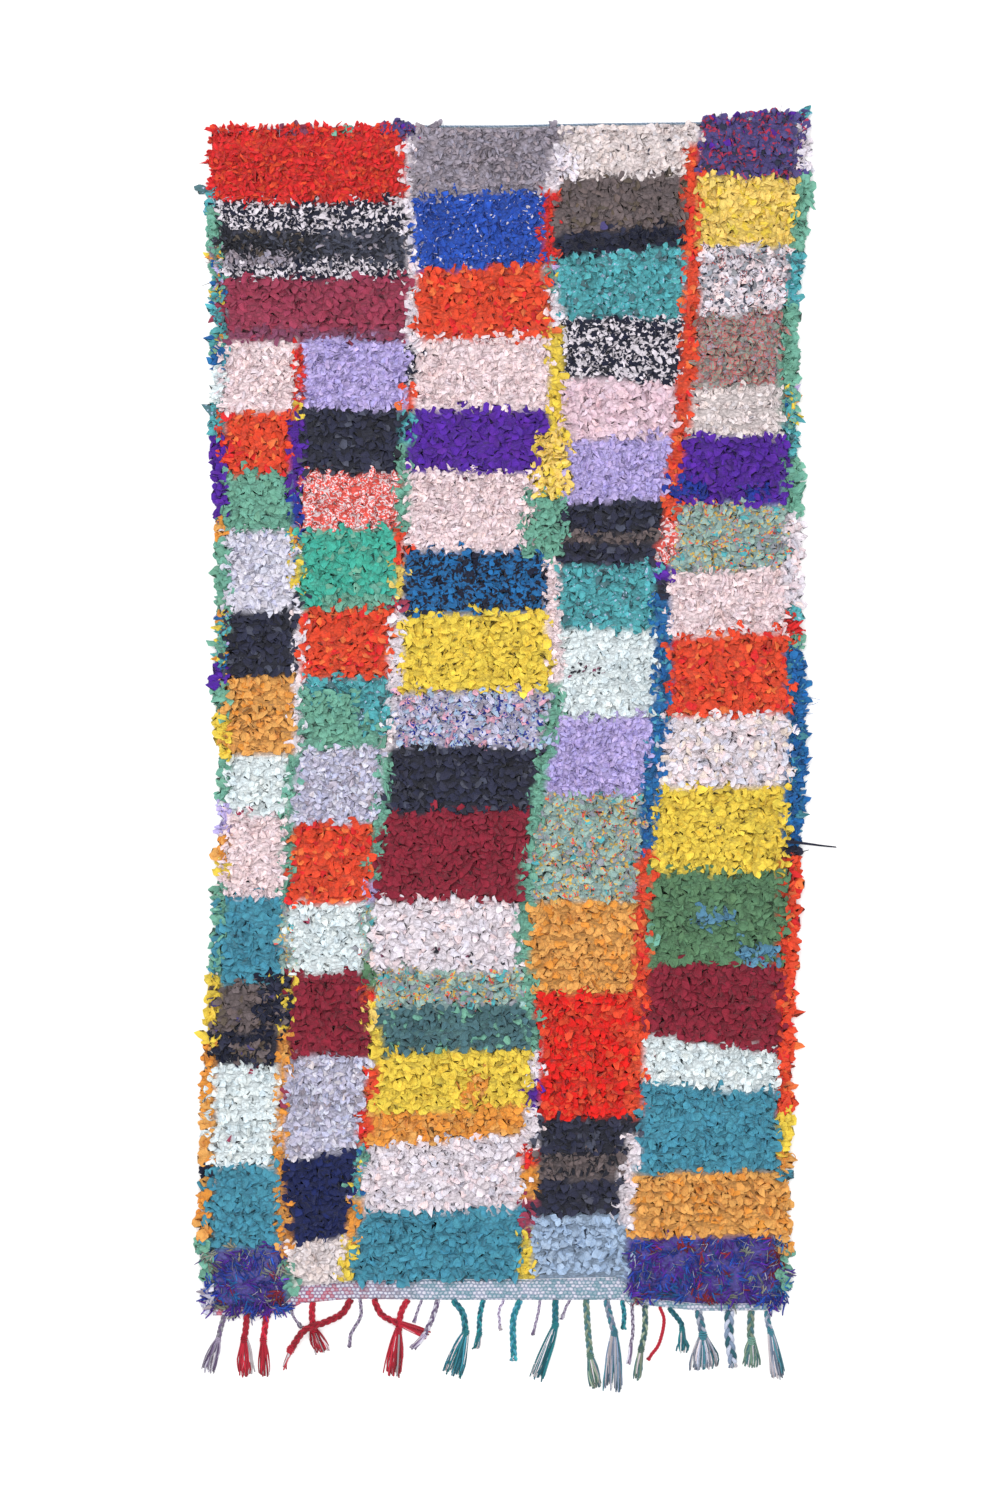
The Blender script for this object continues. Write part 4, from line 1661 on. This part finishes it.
def rag_material(name, blotch=None):
    """Cut cotton and jersey: the dye of each end, printed marks where blotch asks for them,
    creases along the strip and a fine knit, dull with a soft bloom."""
    material, tree, shader = new_material(name)
    weave = add_node(tree, "ShaderNodeUVMap", uv_map="weave").outputs["UV"]
    dye = add_node(tree, "ShaderNodeAttribute", attribute_name="dye").outputs["Color"]
    if blotch:
        dye = printed(tree, weave, dye, blotch)
    faded = noise_node(tree, scaled(tree, weave, FADE_SIZE))
    faded = ramp_node(tree, faded, *NOISE_SPAN, *FADE_TONES)
    strands = noise_node(tree, scaled(tree, weave, STRAND_SIZE), 1.0)
    strands = ramp_node(tree, strands, *STRAND_EDGE, *STRAND_TONES)
    colour = shaded(tree, dye, math_node(tree, "MULTIPLY", faded, strands))
    creases = noise_node(tree, scaled(tree, weave, CREASE_SIZE), *CREASE_DETAIL)
    knit = noise_node(tree, scaled(tree, weave, KNIT_SIZE), 0.0)
    relief = math_node(tree, "ADD", creases, math_node(tree, "MULTIPLY", knit, KNIT_SHARE))
    bumped(tree, shader, relief, CREASE_DEPTH)
    finish_cloth(tree, shader, colour, creases, (-0.08, 0.06))
    shader.inputs["Sheen Roughness"].default_value = 0.5
    shader.inputs["Specular IOR Level"].default_value = CLOTH_SPECULAR
    return material


def thread_material(name, twist):
    """Spun yarn: the dye of each strand with darker slanting lines where its plies meet, one
    for each twist length, and a fuzz of fine noise."""
    material, tree, shader = new_material(name)
    weave = add_node(tree, "ShaderNodeUVMap", uv_map="weave").outputs["UV"]
    dye = add_node(tree, "ShaderNodeAttribute", attribute_name="dye").outputs["Color"]
    parts = add_node(tree, "ShaderNodeSeparateXYZ", {"Vector": weave})
    slanted = math_node(tree, "ADD", parts.outputs["X"], parts.outputs["Y"])
    wave = math_node(tree, "SINE", math_node(tree, "MULTIPLY", slanted, 2 * math.pi / twist))
    fuzz = noise_node(tree, scaled(tree, weave, FUZZ_SIZE))
    height = math_node(tree, "ADD", math_node(tree, "MULTIPLY", wave, PLY_WAVE), fuzz)
    colour = shaded(tree, dye, ramp_node(tree, height, *PLY_EDGE, *PLY_TONES))
    bumped(tree, shader, height, twist * PLY_DEPTH)
    finish_cloth(tree, shader, colour, fuzz, (-0.06, 0.08))
    shader.inputs["Specular IOR Level"].default_value = CLOTH_SPECULAR
    return material


def ground_material():
    """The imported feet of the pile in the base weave: flakes of the dye of each place, each a
    little lighter or darker and dark where it meets the next, printed where its rag is printed,
    with the weave's dark wefts showing here and there between the rows."""
    material, tree, shader = new_material("ground_weave")
    place = add_node(tree, "ShaderNodeTexCoord").outputs["Object"]
    dye = add_node(tree, "ShaderNodeAttribute", attribute_name="dye").outputs["Color"]
    mark = add_node(tree, "ShaderNodeAttribute", attribute_name="mark")
    plum, slate, pale = ((*linear(dye_of), 1) for dye_of in GROUND_DYES)
    patches = noise_node(tree, scaled(tree, place, WEFT_SIZE), 1.0)
    wefts = mix_colour(tree, ramp_node(tree, patches, *WEFT_EDGE, 0, 1), plum, slate)
    flecks = noise_node(tree, scaled(tree, place, FLECK_SIZE), 1.0)
    wefts = mix_colour(tree, ramp_node(tree, flecks, *FLECK_EDGE, 0, FLECK_SHARE), wefts, pale)
    wander = noise_node(tree, scaled(tree, place, FLAKE_WANDER), output="Color")
    spots = vector_node(tree, "ADD", scaled(tree, place, FLAKE_SIZE), wander)
    distance, picked, _ = cells_node(tree, spots)
    height = ramp_node(tree, distance, *FLAKE_SPAN, 1.0, 0.0)
    tone = ramp_node(tree, picked, 0.0, 1.0, *FLAKE_TONES)
    rim = ramp_node(tree, height, *FLAKE_RIM, *FLAKE_RIM_TONES)
    value = math_node(tree, "MULTIPLY", tone, rim)
    marks = vector_node(tree, "ADD", scaled(tree, place, MARK_SIZE), wander)
    _, _, chance = cells_node(tree, marks)
    inked = math_node(tree, "LESS_THAN", chance, mark.outputs["Alpha"])
    rags = shaded(tree, mix_colour(tree, inked, dye, mark.outputs["Color"]), value)
    bare = noise_node(tree, scaled(tree, place, BARE_SIZE))
    bare = ramp_node(tree, bare, *BARE_EDGE, 0, BARE_SHARE)
    bumped(tree, shader, height, FLAKE_DEPTH)
    finish_cloth(tree, shader, mix_colour(tree, bare, rags, wefts), flecks, (-0.04, 0.06))
    return material


def band_material():
    """The twined end band: rows of pale oval stitches, half a stitch over from row to row, on a
    dyed weft that is red and mauve at the left and teal and grey at the right."""
    material, tree, shader = new_material("end_band_weave")
    place = add_node(tree, "ShaderNodeTexCoord").outputs["Object"]
    wobble = noise_node(tree, scaled(tree, place, BAND_WOBBLE), output="Color")
    stitches = scaled(tree, place, (BAND_RIB, BAND_ROW, 1))
    stitches = vector_node(tree, "ADD", stitches, wobble)
    parts = add_node(tree, "ShaderNodeSeparateXYZ", {"Vector": stitches})
    row = math_node(tree, "FLOOR", parts.outputs["Y"])
    over = math_node(tree, "MULTIPLY", math_node(tree, "FLOORED_MODULO", row, 2.0), 0.5)
    along = math_node(tree, "ADD", parts.outputs["X"], over)
    cell = add_node(tree, "ShaderNodeCombineXYZ", {0: math_node(tree, "FLOOR", along), 1: row})
    chance = add_node(tree, "ShaderNodeTexWhiteNoise", {"Vector": cell.outputs[0]}).outputs["Value"]
    squares = []
    for way in (along, parts.outputs["Y"]):
        aside = math_node(tree, "SUBTRACT", math_node(tree, "FRACT", way), 0.5)
        squares.append(math_node(tree, "MULTIPLY", aside, aside))
    middle = math_node(tree, "SQRT", math_node(tree, "ADD", *squares))
    inner, outer = (BAND_OVAL + edge for edge in BAND_OVAL_EDGE)
    oval = ramp_node(tree, middle, inner, outer, 1, 0)
    where = add_node(tree, "ShaderNodeSeparateXYZ", {"Vector": place}).outputs["X"]
    right = ramp_node(tree, where, *BAND_RED_PART, 0, 1)
    red, mauve, teal, grey, pale = ((*linear(dye), 1) for dye in BAND_DYES)
    warm = mix_colour(tree, ramp_node(tree, chance, *BAND_WARM_EDGE, 0, 1), red, mauve)
    cool = mix_colour(tree, ramp_node(tree, chance, *BAND_COOL_EDGE, 0, 1), teal, grey)
    weft = mix_colour(tree, right, warm, cool)
    shown = math_node(tree, "MULTIPLY", oval, ramp_node(tree, chance, *BAND_SHOWN))
    fuzz = noise_node(tree, scaled(tree, place, BAND_FUZZ_SIZE), 1.0)
    relief = math_node(tree, "ADD", oval, math_node(tree, "MULTIPLY", fuzz, BAND_FUZZ))
    bumped(tree, shader, relief, BAND_DEPTH)
    finish_cloth(tree, shader, mix_colour(tree, shown, weft, pale), fuzz, (-0.05, 0.07))
    return material


def floor_material():
    """White paper, a trace darker in wide soft clouds."""
    material, tree, shader = new_material("studio_floor")
    place = add_node(tree, "ShaderNodeTexCoord").outputs["Object"]
    tone = noise_node(tree, scaled(tree, place, FLOOR_CLOUD))
    tone = ramp_node(tree, tone, *NOISE_SPAN, *FLOOR_TONES)
    tree.links.new(shaded(tree, (1, 1, 1, 1), tone), shader.inputs["Base Color"])
    shader.inputs["Roughness"].default_value = 0.9
    shader.inputs["Specular IOR Level"].default_value = 0.1
    return material


def build_pile():
    """The ground weave, then every cloth's ends and yarns over it."""
    ground = slab("ground_weave", pile_plan, GROUND_TOP, GROUND_GRID, packed_relief, packed_dyes)
    places = np.empty(len(ground.data.vertices) * 3)
    ground.data.vertices.foreach_get("co", places)
    x, y, _ = places.reshape(-1, 3).T
    paint(ground.data, "mark", packed_marks(x, y))
    ground.data.materials.append(ground_material())
    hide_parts("pile_slab")
    plain = rag_material("plain_rag")
    yarn = thread_material("pile_yarn", PILE_TWIST)
    knots = chart()
    for number, (rag, spec) in enumerate(RAGS.items()):
        if spec.get("yarn"):
            yarn_piece(rag, knots[rag], number, yarn)
            continue
        blotch = spec.get("blotch")
        material = rag_material("printed_" + rag.replace(" ", "_"), blotch) if blotch else plain
        rag_piece(rag, knots[rag], number, material)


def build_end(threads):
    """The woven end band and its tassels."""
    band = slab("end_band", band_plan, BAND_HEIGHT, BAND_GRID, band_relief)
    band.data.materials.append(band_material())
    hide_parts("fringe_band")
    build_tassels(threads)


def build_studio():
    """The floor, an even white surround, two soft lights and the camera straight above."""
    size = FLOOR_HALF
    corners = np.array(((-size, -size, 0), (size, -size, 0), (size, size, 0), (-size, size, 0)))
    mesh = bpy.data.meshes.new("studio_floor")
    mesh.from_pydata(corners.tolist(), [], [(0, 1, 2, 3)])
    floor = bpy.data.objects.new("studio_floor", mesh)
    bpy.context.scene.collection.objects.link(floor)
    floor.data.materials.append(floor_material())
    world = bpy.data.worlds.new("studio")
    world.use_nodes = True
    world.node_tree.nodes["Background"].inputs["Color"].default_value = (1, 1, 1, 1)
    world.node_tree.nodes["Background"].inputs["Strength"].default_value = WORLD_STRENGTH
    bpy.context.scene.world = world
    for name, place, side, power in LIGHTS:
        light = bpy.data.lights.new(name, "AREA")
        light.size = side
        light.energy = power
        lamp = bpy.data.objects.new(name, light)
        bpy.context.scene.collection.objects.link(lamp)
        lamp.location = place
        toward = -np.array(place)
        pitch = math.atan2(math.hypot(toward[0], toward[1]), -toward[2])
        lamp.rotation_euler = (pitch, 0, math.atan2(-toward[0], toward[1]))
    camera = bpy.data.cameras.new("camera")
    camera.lens = CAMERA_LENS
    camera.sensor_width = SENSOR_WIDTH
    camera.clip_end = CAMERA_FAR
    eye = bpy.data.objects.new("camera", camera)
    bpy.context.scene.collection.objects.link(eye)
    eye.location = CAMERA_PLACE
    bpy.context.scene.camera = eye
    bpy.context.scene.view_settings.view_transform = "Standard"


build_pile()
threads = thread_material("tassel_yarn", TASSEL_TWIST)
build_end(threads)
build_heading(threads)
build_strays(threads)
build_studio()
